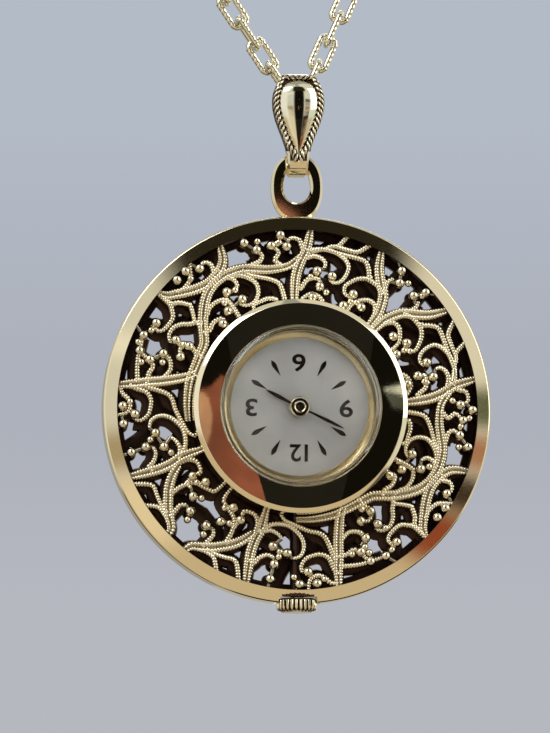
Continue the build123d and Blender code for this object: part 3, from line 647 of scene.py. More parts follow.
TENDRILS = (
    ((5.3, 144), (8.5, 148), (11, 149), (14.2, 149), (17.2, 145), (19.7, 138), (21, 132), (19.8, 126), (17, 125)),
    ((5, 146), (6, 149), (6.9, 157), (6, 164)),
    ((3, 123), (5.5, 130.5), (8.8, 131.5), (11.5, 128), (14, 123), (15, 117), (15.5, 106)),
    ((33.4, 163), (37.5, 159), (33.5, 163), (30, 163), (27, 161.5), (24, 157.5), (22.3, 152), (22.2, 143.5),
     (23.6, 135.5), (26.3, 132.5), (28.5, 135)),
    ((38.6, 152.5), (36, 155), (33.2, 154), (31.3, 150), (31.2, 145)),
    ((42.6, 122), (40.5, 122), (38, 130), (35, 133), (32.5, 132), (31.9, 125.5)),
    ((29, 105), (29.5, 112), (32.3, 116), (35.7, 116.5), (39.7, 111), (41, 105)),
    ((12.4, 152), (13.7, 152), (15.3, 158.5), (17.6, 164), (21.3, 163.6), (25, 162.5), (33.4, 163), (38.9, 160)),
    ((18.2, 182), (20.9, 170.5), (24.4, 168.3), (29.7, 168), (32.6, 163)),
    ((25.9, 182), (27.8, 170.5), (30.5, 167)),
    ((39.2, 160), (40.5, 163), (41.5, 170), (44, 172), (45.5, 169)),
    ((47.8, 144), (50.7, 151), (49, 158.5), (51.3, 166)),
    ((60, 151.5), (56.5, 153), (55.2, 158), (56.6, 164.5)),
    ((48.4, 105), (49.7, 122.5), (51.2, 129), (54.9, 134), (58.6, 138), (62, 143), (64, 150)),
    ((53, 105), (53.5, 112), (57, 114.5), (60.5, 114), (65, 112.5), (66, 105)),
    ((70.5, 150), (65.7, 146), (62.4, 139.5), (60.4, 132), (60.7, 123.5), (62.8, 117.3), (65.7, 114.8),
     (69, 116), (71, 120.5)),
    ((70, 149), (68.5, 144.5), (68.2, 138), (70, 133.5)),
    ((74.7, 106), (74.7, 122), (75.1, 128.5), (75.7, 131), (79.3, 134), (83.4, 133.5), (86, 130), (89, 129)),
    ((93.8, 120.5), (90.5, 118), (87.2, 120.2), (84, 119.5), (82, 116.5), (82.6, 106)),
    ((79, 182), (80.3, 174), (82.1, 167.5), (85.5, 165.3), (88.4, 167)),
    ((71.5, 159), (73.5, 161), (73.2, 167.5), (74.2, 172.5), (76, 174)),
    ((92.6, 172), (92.6, 164), (90.5, 158.8), (88.9, 152), (88.4, 148.5), (90.1, 141), (92, 134), (91.5, 127)),
    ((92.8, 182), (93.1, 165.5), (94.5, 158.5), (96.4, 154), (99.3, 153.5), (102.2, 155.5), (103.3, 160),
     (102.4, 167.5)),
    ((90, 128), (92, 133), (94.3, 137), (96.3, 143), (98.9, 147.5), (101.5, 148.3), (103.2, 147), (104.9, 143)),
    ((103.8, 106), (103.8, 115.5), (102.3, 122), (103, 128), (105.5, 131.5), (108.6, 128)),
    ((110.2, 145), (111.5, 137), (115, 133), (118, 135.5), (120.4, 140)),
    ((122.6, 153), (119, 152.5), (116.3, 150.5), (114.2, 155.3), (113.5, 162), (112.4, 168)),
    ((123.5, 162), (117, 166), (112.4, 168), (107, 170.3)),
    ((122.6, 152), (124.2, 152), (125, 140.5), (126.2, 130.5), (128.6, 125.5), (132.8, 122.5), (137, 118.5),
     (141, 114.8), (145, 111.5), (148, 105)),
    ((124.4, 170), (125.3, 163), (126.3, 152), (129, 146.8), (132.2, 147), (135, 149.8), (136.8, 156.8),
     (136.5, 162.5)),
    ((125, 179), (127.4, 176), (129, 170), (131.3, 167), (133.8, 170.5), (134.7, 182)),
    ((155, 126), (154.5, 127), (151.3, 119.5), (147.2, 116.5), (142, 117.5), (137.6, 124.7), (135.7, 132.5),
     (135.7, 140.5), (137.2, 147), (139.9, 149.5)),
    ((156, 129), (153, 126.5), (150.5, 124.5), (147.2, 126.5), (145.1, 130.5)),
    ((156, 158), (154, 160), (152.5, 153.5), (149.9, 149), (147.2, 150)),
    ((157, 182), (159, 169), (160.9, 164), (164.2, 165.5), (167.6, 167), (171, 167)),
    ((164.5, 182), (167.4, 171.3), (170.7, 170.5), (173.8, 173)),
    ((172.6, 168), (172, 159), (171.7, 152), (173, 147.5)),
    ((165, 153), (166.1, 150.5), (166, 142.5), (166.6, 135), (169, 133)),
    ((166, 136), (168, 127), (173.9, 121), (176.8, 118), (177.6, 110.5), (177.4, 105)),
    ((157, 131), (157.2, 122), (159.2, 115.5), (162.2, 114), (165.5, 116.5), (165.1, 125.5), (166.4, 136)),
)
GRANULES = (
    (3.3, 164), (5.3, 175), (10.2, 121), (16.3, 129), (18.6, 114), (27.6, 138.5), (34, 140.5), (31.9, 125.5),
    (34.5, 113.5), (45.9, 163.5), (47.7, 175.5), (51.3, 166), (56.6, 164.5), (60, 174.5), (69, 123), (73.5, 136.5),
    (77.8, 120), (83.6, 113), (81.5, 177), (85.5, 176), (77.2, 170.8), (101.2, 165), (103.1, 139.3), (108.6, 128),
    (102.5, 125), (110.2, 145), (107, 170.3), (112.4, 168), (114.2, 155.3), (134.5, 162.7), (131.7, 175),
    (137.6, 174.8), (142.2, 144.5), (148.4, 139.3), (146.7, 157), (147.3, 172), (175.9, 148.8), (172.2, 137),
    (165.1, 125.5), (170.9, 118.2),
)
# Short smooth stalks that tie granules to the nearest strand
STALKS = (
    ((3.3, 164), (6, 160)), ((5.3, 175), (3.3, 164)), ((5.3, 175), (8, 182)), ((10.2, 121), (11.5, 128)),
    ((16.3, 129), (17, 125)), ((18.6, 114), (15.2, 112)), ((27.6, 138.5), (28.5, 135)), ((34, 140.5), (31.2, 145)),
    ((34.5, 113.5), (32.3, 116)), ((45.9, 163.5), (45.5, 169)), ((47.7, 175.5), (45.5, 170)),
    ((47.7, 175.5), (49, 182)), ((60, 174.5), (60, 182)), ((60, 174.5), (56.6, 164.5)), ((69, 123), (71, 120.5)),
    ((73.5, 136.5), (70, 133.5)), ((77.8, 120), (74.7, 121)), ((77.2, 170.8), (76, 174)), ((77.2, 170.8), (79, 182)),
    ((81.5, 177), (82, 182)), ((85.5, 176), (85.5, 182)), ((101.2, 165), (102.4, 167.5)),
    ((103.1, 139.3), (104.9, 143)), ((102.5, 125), (102.6, 122)), ((110.2, 145), (113, 150)),
    ((114.2, 155.3), (110.2, 145)), ((107, 170.3), (105, 182)), ((134.5, 162.7), (136.5, 162.5)),
    ((131.7, 175), (131.3, 182)),
    ((137.6, 174.8), (138.5, 182)), ((137.6, 174.8), (134.3, 176)), ((142.2, 144.5), (139.9, 149.5)),
    ((148.4, 139.3), (142.2, 144.5)), ((148.4, 139.3), (145.1, 130.5)), ((146.7, 157), (147.2, 150)),
    ((147.3, 172), (146.7, 157)), ((147.3, 172), (147.5, 182)), ((175.9, 148.8), (173, 147.5)),
    ((172.2, 137), (169, 133)), ((170.9, 118.2), (171.5, 123)), ((69, 123), (77.8, 120)),
)
# Bars of the plate behind, as degrees from the mirror axis and share of the ring
BAR_SHARES = (
    ((0, -0.02), (6, 0.4), (4, 1.04)), ((24, 1.04), (20, 0.7), (12, 0.45), (6, 0.4)),
    ((20, 0.7), (28, 0.3), (26, -0.02)), ((44, -0.02), (42.2, 0.44), (38, 1.04)),
    ((60, 1.04), (52, 0.7), (41, 0.6)), ((62, -0.02), (56, 0.3), (52, 0.7)),
    ((84, 1.04), (78, 0.6), (66, 0.4), (58, 0.25)), ((88, -0.02), (86, 0.35), (78, 0.6)),
    ((104, 1.04), (98, 0.6), (86, 0.35)), ((112, -0.02), (108, 0.4), (98, 0.6)),
    ((125, 1.04), (122, 0.5), (108, 0.4)), ((138, -0.02), (132, 0.4), (122, 0.5)),
    ((146, 1.04), (142, 0.65), (132, 0.4)), ((154.5, 1.04), (156, 0.5), (155.3, -0.02)),
    ((142, 0.65), (149, 0.4), (156, 0.35)), ((156, 0.4), (166, 0.6), (172, 1.04)),
    ((28, 0.3), (35, 0.2), (42.2, 0.44)), ((166, 0.6), (181, 0.45)),
)


def ring_place(turn, share, side, depth):
    """Point of the pierced ring on one half, at a depth."""
    scroll = sizes("watch_scroll")
    inner, outer = reach_of("drum"), reach_of("case_rim") - sizes("watch_case").rim_face
    reach = inner + share * (outer - inner)
    angle = scroll.mirror_axis - math.radians(side * turn)
    return Vector((reach * math.cos(angle), -depth, reach * math.sin(angle)))


def traced(rows, side, depth):
    """Traced pixels of one half as points of the ring."""
    scroll = sizes("watch_scroll")
    width = scroll.ring_out_px - scroll.ring_in_px
    return [ring_place(turn, (pixels - scroll.ring_in_px) / width, side, depth) for turn, pixels in rows]


def add_strand(shape, line, wide, high, pitch, rise, shift=0, taper=lambda share: 1, edge=1):
    """One strand: a domed strip with beads along one edge and a calmer other edge."""

    def section(travel, share):
        lift = bead(travel, pitch) if pitch else 1
        flanks = []
        for way, swell in ((-edge, lift), (edge, 0.55 + 0.45 * lift)):
            half = way * wide / 2 * (0.76 + 0.24 * swell) * taper(share)
            crest = high - rise * (1 - swell)
            flanks.append([(half * 0.86, 0), (half, crest * 0.45), (half * 0.7, crest * 0.86)])
        top = (0, high - rise * 0.75 * (1 - lift))
        return (*flanks[0], top, *reversed(flanks[1]))

    swept(shape, line, section, FRONT, shift=shift)


def narrowing(share):
    """A stem's width along its length: full in the middle, narrow at both ends."""
    return 1.08 - 0.42 * abs(2 * share - 1) ** 3


def tapering(share):
    """A tendril's width along its length: full at its root, narrower at its tip."""
    return 1.12 - 0.34 * share**2


def add_granule(shape, place, reach, high):
    """Polished granule: a ball that sits in a low collar."""
    outline = [(0, 0), (reach * 0.8, 0), (reach * 0.84, reach * 0.14), (reach * 0.72, reach * 0.26)]
    for step in range(9):
        angle = math.radians(-38 + 128 * step / 8)
        outline.append((reach * math.cos(angle), high - reach + reach * math.sin(angle)))
    start, count = len(shape.points), len(outline)
    shape.rings(turned(outline, 20, place), closed=True)
    # The faces that would run inside, from the ball's top back to its foot, are left out
    shape.faces = [f for f in shape.faces if not (f[0] >= start and (f[0] - start) % count == count - 1)]


class WATCH_OT_rim(Operator):
    """Build the polished rim with its bevel and crown scallop"""

    bl_idname = "watch.rim"
    bl_label = "Rim"

    def execute(self, context):
        case = sizes("watch_case")
        outer, inner = reach_of("case_rim"), reach_of("case_rim") - case.rim_face
        front, back = front_of("case_rim"), back_of("case_rim")
        bevel, edge = case.rim_bevel, case.soft_edge
        corners = (
            (inner, back), (outer - bevel, back), (outer, back + bevel),
            (outer, front - case.rim_fall - bevel), (outer - bevel, front - case.rim_fall), (inner, front),
        )
        gold = gold_plate("rim_gold_plate", sizes("watch_colours").gold, 0.04)
        made = turned_piece("rim", rounded(corners, edge), gold, "case", ("case_rim",))
        # The rim's inner wall, which faces the drum, is painted near black as shade
        second_finish(
            made, shade_and_oxidation_plate("rim_wall_oxide"),
            lambda spot, reach: reach < inner + edge * 0.8 and -spot.y < front - edge * 0.2,
        )
        lo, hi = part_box("crown")
        reach, floor = (hi.x - lo.x) / 2 + case.notch_gap, case.notch_deep - outer
        below = floor - 2 * case.rim_face
        outline = [(0, floor), (reach, floor), (reach, below), (0, below)]
        notch = Shape().rings(turned_up(outline, 96, -(front + back) / 2), closed=True)
        mesh = mesh_of("scallop_cutter", notch.points, notch.faces)
        cutter = linked("scallop_cutter", welded(mesh, thinned=True))
        cut = made.modifiers.new("scallop", "BOOLEAN")
        cut.operation, cut.solver, cut.object = "DIFFERENCE", "EXACT", cutter
        ready = evaluated(made)
        made.modifiers.clear()
        made.data = ready
        made.data.set_sharp_from_angle(angle=math.radians(30))
        keep_flats(made)
        bpy.data.objects.remove(cutter)
        return {"FINISHED"}


class WATCH_OT_scrollwork(Operator):
    """Build the pierced front plate of beaded scrolls and granules"""

    bl_idname = "watch.scrollwork"
    bl_label = "Scrollwork"

    def execute(self, context):
        scroll = sizes("watch_scroll")
        depth = back_of("filigree_front") + 0.02 * MM
        step = scroll.bead_pitch / 7
        drum_r = reach_of("drum") + scroll.berry_r
        rim_in = reach_of("case_rim") - sizes("watch_case").rim_face - scroll.berry_r
        shape, berries = Shape(), Shape()
        wide, high, pitch, rise = scroll.strand_w, scroll.strand_high, scroll.bead_pitch, scroll.bead_high
        ball = scroll.berry_r
        for side in (1, -1):
            for rows in STEMS:
                line = smooth_line(traced(rows, side, depth), step)
                for way in (-0.5, 0.5):
                    add_strand(
                        shape, line, wide * 0.94, high, pitch, rise,
                        lambda share: way * scroll.pair_w * narrowing(share), narrowing, math.copysign(1, -way),
                    )
                add_strand(shape, line, scroll.pair_w, high * 0.62, pitch * 1.4, rise)
            for rows in TENDRILS:
                line = smooth_line(traced(rows, side, depth), step)
                add_strand(shape, line, wide, high * 0.96, pitch, rise, taper=tapering)
            for rows in STALKS:
                line = smooth_line(traced(rows, side, depth), step * 3)
                add_strand(shape, line, wide * 0.7, high * 0.6, 0, 0)
            for i, spot in enumerate(GRANULES):
                place = traced((spot,), side, depth)[0]
                add_granule(berries, place, ball, high + ball * 0.65)
                if i % 3 != 2:
                    beside = place + heading(math.radians(97 * i)) * ball * 1.75
                    if drum_r < math.hypot(beside.x, beside.z) < rim_in:
                        add_granule(berries, beside, ball * 0.74, high + ball * 0.2)
        cast = cast_scroll_plate("scroll_cast_gold", 0.24)
        polished = cast_scroll_plate("granule_polished_gold", 0.12)
        piece("scroll_plate", shape, cast, "case", ("filigree_front",), 50)
        piece("scroll_granules", berries, polished, "case", (), 50)
        return {"FINISHED"}


# How much higher each bar and each granule of the back plate lies than the one before
BAR_LIFT, GRANULE_LIFT = 0.0005 * MM, 0.0003 * MM


class WATCH_OT_back_plate(Operator):
    """Build the dark pierced plate behind the scrollwork: painted shade, taken partly as oxidation"""

    bl_idname = "watch.back_plate"
    bl_label = "Back plate"

    def execute(self, context):
        scroll = sizes("watch_scroll")
        back, front = back_of("filigree_back"), front_of("filigree_back")
        high = front - back
        shape = Shape()
        # Every bar and granule lies a little higher than the last, so that no two faces coincide
        count = 0
        for side in (1, -1):
            # Bars follow every stem and tendril of the front as well as the plate's own bars: their dark faces stand
            # in for the strands' shadows on the plate behind
            rows = [traced(row, side, back) for row in (*STEMS, *TENDRILS)]
            rows += [[ring_place(turn, share, side, back) for turn, share in row] for row in BAR_SHARES]
            for row in rows:
                count += 1
                half, rise = scroll.bar_w / 2, high - (count % 9) * 0.004 * MM
                flank = (
                    (half * 0.26, count * BAR_LIFT), (half * 0.62, high * 0.14), (half, rise * 0.42),
                    (half * 0.86, rise * 0.82), (half * 0.4, rise),
                )
                section = [(-across, up) for across, up in flank] + list(reversed(flank))
                swept(shape, smooth_line(row, 0.25 * MM), lambda travel, share: section, FRONT)
            for spot in GRANULES:
                count += 1
                place = traced((spot,), side, back + count * GRANULE_LIFT)[0]
                add_granule(shape, place, scroll.berry_r * 1.25, high * 0.9)
        edge, case = 0.06 * MM, sizes("watch_case")
        drum_r, rim_r = reach_of("drum"), reach_of("case_rim") - case.rim_face
        for inner, outer in ((drum_r - edge, drum_r + scroll.band_w), (rim_r - scroll.band_w, rim_r + edge)):
            band = ((inner, back), (outer, back), (outer, front - edge), (inner, front - edge))
            shape.rings(turned(band), closed=True)
        shade_and_oxidation = shade_and_oxidation_plate("back_oxidised_brass")
        made = piece("back_scroll_plate", shape, shade_and_oxidation, "case", ("filigree_back",))
        # The plate's lowest faces take gold: it is gold from behind, and dark with painted shade only where it faces
        # the scrollwork
        second_finish(
            made, gold_plate("back_scroll_gold", sizes("watch_colours").scroll, 0.24, 0.14, 0.2 * MM),
            lambda spot, reach: -spot.y < back + high * 0.2,
        )
        return {"FINISHED"}


class WATCH_OT_drum(Operator):
    """Build the drum with its mirror bezel, and the snap-on back"""

    bl_idname = "watch.drum"
    bl_label = "Drum and back"

    def execute(self, context):
        case = sizes("watch_case")
        outer, front, back = reach_of("drum"), front_of("drum"), back_of("drum")
        glass, dial_front = reach_of("crystal"), front_of("dial")
        seat_in = reach_of("dial") - case.rim_bevel
        lace_top, bezel_out = front_of("filigree_front"), outer - case.drum_bevel
        corners = (
            (outer, back), (outer, lace_top), (outer, front - case.drum_fall), (bezel_out, front), (glass, front),
            (glass, case.seat_depth), (seat_in, case.seat_depth), (seat_in, dial_front),
            (bezel_out, dial_front), (bezel_out, back),
        )
        colours, soft = sizes("watch_colours"), case.soft_edge
        mirror = gold_plate("bezel_gold_plate", colours.gold, 0.005, 0.015, ripple=0.0001 * MM)
        made = turned_piece("drum_bezel", rounded(corners, soft), mirror, "case", ("drum",))
        shade_and_oxidation = shade_and_oxidation_plate("drum_wall_oxide")
        # The drum's side below the scrollwork's top is painted near black as shade
        second_finish(made, shade_and_oxidation, lambda spot, reach: reach > outer - soft and -spot.y < lace_top)
        second_finish(
            made, gold_plate("seat_satin_gold", colours.ring_gold, 0.38, 0.1),
            lambda spot, reach: (
                seat_in - case.rim_bevel < reach < glass + soft * 0.4
                and -spot.y > dial_front + case.rim_bevel
            ),
        )
        edge = back * 0.25
        dish, lip = edge * 0.3, outer * 0.87
        outline = [
            (0, dish), (lip - dish, dish), (lip - dish * 0.3, dish * 0.7), (lip, 0), (outer - edge, 0),
            (outer - edge * 0.3, edge * 0.3), (outer, edge), (outer, back), (0, back),
        ]
        satin = gold_plate("back_gold_plate", colours.gold, 0.16, 0.08, 0.2 * MM)
        made = turned_piece("snap_back", outline, satin, "case", ("case_back",))
        # The snap-on back's side edge is painted near black as shade
        second_finish(made, shade_and_oxidation, lambda spot, reach: reach > outer - edge * 0.2)
        return {"FINISHED"}


class WATCH_OT_crystal(Operator):
    """Build the domed crystal and the gold ring inside its edge"""

    bl_idname = "watch.crystal"
    bl_label = "Crystal"

    def execute(self, context):
        case = sizes("watch_case")
        outer, top = reach_of("crystal") - case.soft_edge, front_of("crystal")
        inner = outer - case.crystal_wall
        rise = top - case.crystal_edge
        ball = (outer**2 + rise**2) / (2 * rise)
        edge, under = case.soft_edge * 4, case.crystal_under
        outline = [(0, under)]
        for step in range(7):
            angle = math.radians(90 - 90 * step / 6)
            inset, drop = edge * (1 - math.cos(angle)) * 2, edge * (1 - math.sin(angle)) * 2
            outline.append((inner - inset, under - drop))
        foot = case.seat_depth + case.soft_edge * 0.6
        outline += [(inner, foot), (outer, foot)]
        for step in range(4):
            angle = math.radians(90 * step / 4)
            across, up = edge * math.cos(angle), edge * math.sin(angle)
            outline.append((outer - edge + across, case.crystal_edge - edge + up))
        for step in range(16):
            reach = (outer - edge) * (1 - step / 15)
            outline.append((reach, top - ball + math.sqrt(ball**2 - reach**2)))
        turned_piece("crystal_dome", outline, clear_acrylic("crystal_acrylic"), "case", ("crystal",), 40)
        low, high = back_of("tension_ring"), front_of("tension_ring")
        ring_out = inner - case.soft_edge
        corners = (
            (case.view_r, low), (ring_out, low), (ring_out, high), (ring_out - 0.2 * MM, high),
            (case.view_r, low + 0.15 * MM),
        )
        gold = gold_plate("reflector_gold", sizes("watch_colours").ring_gold, 0.12)
        turned_piece("reflector_ring", rounded(corners, case.soft_edge), gold, "case", ("tension_ring",))
        return {"FINISHED"}


def flat_mark(shape, outline, back, high):
    """Raised flat mark with a slightly smaller top, from its outline across and up."""
    middle = Vector((sum(p[0] for p in outline), sum(p[1] for p in outline))) / len(outline)
    rings = []
    for share, rise in ((1, 0), (1, high * 0.6), (0.93, high)):
        ring = []
        for x, z in outline:
            spot = middle + (Vector((x, z)) - middle) * share
            ring.append(Vector((spot.x, -(back + rise), spot.y)))
        rings.append(ring)
    shape.rings(rings)


def leaf(way, start, end, wide, belly=0.68):
    """Leaf outline that points outward, widest at the belly's share of its length."""
    along = Vector((math.cos(way), math.sin(way)))
    across = Vector((-along.y, along.x))
    stations = ((0, 0.06), (belly * 0.5, 0.56), (belly, 1), ((1 + belly) / 2, 0.72), (1, 0.05))
    outline = []
    for side, order in ((1, stations), (-1, reversed(stations))):
        for share, half in order:
            outline.append(along * (start + (end - start) * share) + across * (side * wide / 2 * half))
    return [tuple(p) for p in outline]


class WATCH_OT_dial(Operator):
    """Build the satin dial with its leaf markers and plain figures"""

    bl_idname = "watch.dial"
    bl_label = "Dial"

    def execute(self, context):
        dial, case = sizes("watch_dial"), sizes("watch_case")
        front, back = front_of("dial"), back_of("dial")
        reach, hole, edge = reach_of("dial") - case.rim_bevel - case.soft_edge, dial.hole_r, 0.05 * MM
        outline = [(hole, back), (reach, back), (reach, front - edge), (reach - edge, front), (hole, front)]
        turned_piece("dial_plate", outline, satin_silver("dial_satin_silver"), "case", ("dial",))
        ink = glossy_print("dial_print")
        marks = Shape()
        for hour in (1, 2, 4, 5, 7, 8, 10, 11):
            way = math.radians(-90 - 30 * hour)
            flat_mark(marks, leaf(way, dial.marker_in, dial.marker_out, dial.marker_w), front, dial.mark_high)
        piece("dial_markers", marks, ink, "case")
        for text, way, out in (
            ("12", -90, dial.figure_reach), ("3", 180, dial.side_reach),
            ("6", 90, dial.figure_reach), ("9", 0, dial.side_reach),
        ):
            curve = bpy.data.curves.new("figure_" + text, "FONT")
            curve.body = text
            curve.align_x, curve.align_y = "CENTER", "CENTER"
            curve.size = dial.figure_high * 1.38
            curve.space_character = 0.9
            curve.extrude = dial.mark_high / 2
            curve.offset = dial.figure_bold
            holder = linked("figure_holder", curve)
            mesh = evaluated(holder)
            bpy.data.objects.remove(holder)
            xs, ys = ([v.co[axis] for v in mesh.vertices] for axis in (0, 1))
            cx, cy = (min(xs) + max(xs)) / 2, (min(ys) + max(ys)) / 2
            wider = dial.figure_wide if len(text) == 1 else 1
            angle = math.radians(way)
            for v in mesh.vertices:
                x, y, z = v.co.x - cx, v.co.y - cy, v.co.z
                v.co = (
                    -x * wider + out * math.cos(angle), -(front + dial.mark_high / 2 + z),
                    -y + out * math.sin(angle),
                )
            welded(mesh)
            mesh.materials.clear()
            mesh.materials.append(ink)
            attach(linked("dial_figure_" + text, mesh), "case")
        return {"FINISHED"}


def ridged_hand(shape, way, end, wide, back, high):
    """Hand with a ridge along its middle: a narrow leaf that starts under the hub."""
    along = heading(way)
    across = Vector((-along.z, 0, along.x))
    rings = []
    for share, half in ((0.05, 0.5), (0.3, 0.6), (0.62, 1), (0.82, 0.8), (0.94, 0.42), (1, 0.06)):
        spot = along * (end * share)
        side = across * (wide / 2 * half)
        low, edge, ridge = FRONT * back, FRONT * (back + high * 0.4), FRONT * (back + high)
        rings.append([spot - side + low, spot - side + edge, spot + ridge, spot + side + edge, spot + side + low])
    shape.rings(rings)


class WATCH_OT_hands(Operator):
    """Build the two hands on their stepped gold hub"""

    bl_idname = "watch.hands"
    bl_label = "Hands"

    def execute(self, context):
        dial = sizes("watch_dial")
        hub, bore = dial.hub_r, dial.hour_bore
        dark = glossy_print("hand_dark_lacquer")
        gold = gold_plate("hub_gold", sizes("watch_colours").gold, 0.08)
        low, top = back_of("hour_hand"), front_of("hour_hand")
        shape = Shape()
        ridged_hand(shape, dial.hour_way, dial.hour_reach, dial.hour_w, low, top - low)
        shape.rings(turned([(bore, low), (hub * 0.9, low), (hub * 0.9, top), (bore, top)], 48), closed=True)
        piece("hour_leaf", shape, dark, "hours", ("hour_hand",), 20)
        low, top = back_of("minute_hand"), front_of("minute_hand")
        high = top - low
        shape = Shape()
        ridged_hand(shape, dial.minute_way, dial.minute_reach, dial.minute_w, low, high)
        piece("minute_leaf", shape, dark, "minutes", ("minute_hand",), 20)
        outline = [(dial.minute_bore, low)] + [
            (hub * across, low + high * up)
            for across, up in (
                (0.97, 0), (1, 0.6), (0.97, 1.3), (0.9, 1.6), (0.82, 1.5), (0.76, 0.9), (0.64, 0.8), (0.6, 1.9),
                (0.53, 2.3), (0.45, 2.2), (0.4, 1.9), (0.37, 1.5),
            )
        ]
        made = turned_piece("hand_hub", outline, gold, "minutes", (), 40, steps=72)
        second_finish(
            made, dark, lambda spot, reach: hub * 0.62 < reach < hub * 0.79 and -spot.y > low + high * 0.3
        )
        foot = front_of("cannon_pinion") + 0.02 * MM
        outline = [
            (hub * across, foot + up * MM)
            for across, up in ((0, 0), (0.38, 0), (0.36, 0.06), (0.16, 0.1), (0.1, 0.06), (0, 0.05))
        ]
        turned_piece("hub_core", outline, dark, "minutes", (), 40, steps=48)
        return {"FINISHED"}


class WATCH_OT_crown(Operator):
    """Build the knurled crown and the stem's tube"""

    bl_idname = "watch.crown"
    bl_label = "Crown"

    def execute(self, context):
        hang = sizes("watch_hang")
        lo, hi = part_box("crown")
        reach, middle = (hi.x - lo.x) / 2, (lo.y + hi.y) / 2
        soft = (hi.z - lo.z) * 0.13

        def ripple(angle):
            return hang.knurl_deep * (1 - abs(math.cos(angle * hang.knurls / 2))) ** 0.9

        outline = [
            (0, hi.z), (reach * 0.86, hi.z), (reach * 0.95, hi.z - soft * 0.4), (reach, hi.z - soft),
            (reach, lo.z + soft * 2.2), (reach * 0.94, lo.z + soft * 1.3), (reach * 0.82, lo.z + soft * 0.9),
            (reach * 0.74, lo.z + soft * 0.25), (reach * 0.6, lo.z), (0, lo.z),
        ]
        knob = Shape().rings(turned_up(outline, hang.knurls * 10, middle, ripple), closed=True)
        gold = gold_plate("crown_gold_plate", sizes("watch_colours").gold, 0.12)
        made = piece("crown_knob", knob, gold, "crown", ("crown",))
        grooves = reach - hang.knurl_deep * 0.45
        # Painted shade: the crown's top end in its scallop and the floors of its grooves are painted near black
        second_finish(
            made, shade_and_oxidation_plate("crown_groove_oxide"),
            lambda spot, out: (
                spot.z > hi.z - soft
                or spot.z > lo.z + soft and math.hypot(spot.x, spot.y - middle) < grooves
            ),
        )
        tube_lo, tube_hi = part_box("stem_tube")
        bore = hang.tube_r * 0.68
        outline = [(bore, tube_hi.z), (hang.tube_r, tube_hi.z), (hang.tube_r, tube_lo.z), (bore, tube_lo.z)]
        tube = Shape().rings(turned_up(outline, 40, (tube_lo.y + tube_hi.y) / 2), closed=True)
        # The stem's tube, between crown and rim, is painted near black as shade
        piece("stem_sleeve", tube, shade_and_oxidation_plate("sleeve_oxidised_brass"), "case", ("stem_tube",))
        return {"FINISHED"}


def oblong(half_w, half_h, corner, count):
    """Closed outline of a rounded oblong as count points, with matching turns."""
    outline = []
    for i in range(count):
        quarter, part = divmod(i * 4 / count, 1)
        sx = 1 if quarter in (0, 3) else -1
        sz = 1 if quarter in (0, 1) else -1
        turn = part * math.pi / 2 + quarter * math.pi / 2
        x, z = corner * math.cos(turn), corner * math.sin(turn)
        outline.append((sx * (half_w - corner) + x, sz * (half_h - corner) + z))
    return outline


def oval(half_w, half_h, power, count):
    """Closed outline of an oval; a power above 2 fills its corners out."""
    outline = []
    for turn in turns(count):
        x, z = math.cos(turn), math.sin(turn)
        across, up = abs(x) ** (2 / power), abs(z) ** (2 / power)
        outline.append((half_w * math.copysign(across, x), half_h * math.copysign(up, z)))
    return outline


class WATCH_OT_loop(Operator):
    """Build the oval loop that is fixed on the rim"""

    bl_idname = "watch.loop"
    bl_label = "Loop"

    def execute(self, context):
        hang = sizes("watch_hang")
        lo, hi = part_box("pendant_loop")
        outer_w, outer_h = (hi.x - lo.x) / 2, hang.loop_h / 2
        centre = hi.z - outer_h
        back, front = -hi.y, -lo.y
        edge, count = hang.loop_edge, 160
        hole_w, hole_h = hang.loop_hole_w / 2, hang.loop_hole_h / 2
        out = {}
        for key, inset in (("out", 0), ("out_in", edge)):
            out[key] = oval(outer_w - inset, outer_h - inset, hang.loop_power, count)
        for key, inset in (("hole", 0), ("hole_out", -edge)):
            opening = oval(hole_w - inset, hole_h - inset, 2, count)
            out[key] = [(x, z if z > 0 else z * hang.loop_foot) for x, z in opening]
        order = (
            ("out", back + edge), ("out_in", back), ("hole_out", back), ("hole", back + edge),
            ("hole", front - edge), ("hole_out", front), ("out_in", front), ("out", front - edge),
        )
        seat = reach_of("case_rim") - hang.loop_sink
        rings = [
            [Vector((out[key][i][0], -depth, centre + out[key][i][1])) for key, depth in order]
            for i in range(count)
        ]
        for point in (point for ring in rings for point in ring):
            scale = max(1, seat / math.hypot(point.x, point.z))
            point.x, point.z = point.x * scale, point.z * scale
        gold = gold_plate("loop_gold_plate", sizes("watch_colours").gold, 0.02, 0.02, ripple=0.0001 * MM)
        piece("rim_loop", Shape().rings(rings, closed=True), gold, "case", ("pendant_loop",), 25)
        return {"FINISHED"}


def measured(table, z):
    """Value read off a table of heights and values, in metres."""
    heights, values = zip(*table)
    return float(np.interp(z / MM, heights, values)) * MM


# Height and half width in mm, of the bail's front plate and of its polished drop
PLATE_HALF = (
    (24.0, 1.2), (27.5, 1.2), (28.4, 1.4), (29.4, 1.75), (30.4, 2.15), (31.5, 2.55), (32.6, 2.8), (33.5, 2.85),
    (34.3, 2.76), (35.1, 2.46), (36.0, 1.9), (36.7, 1.6),
)
DROP_HALF = (
    (27.3, 0.02), (27.7, 0.2), (28.4, 0.5), (29.4, 1.0), (30.5, 1.46), (31.6, 1.88), (32.6, 2.14), (33.5, 2.2),
    (34.3, 2.1), (34.9, 1.86), (35.4, 1.42), (35.78, 0.8), (35.88, 0.25),
)
# Heights of the plate's dark recess, painted as shade, of the rope's two ends, and where those ends draw together
RECESS = (27.9 * MM, 35.9 * MM)
ROPE_END = 26.9 * MM
ROPE_MEET = (26.7 * MM, 28.4 * MM)


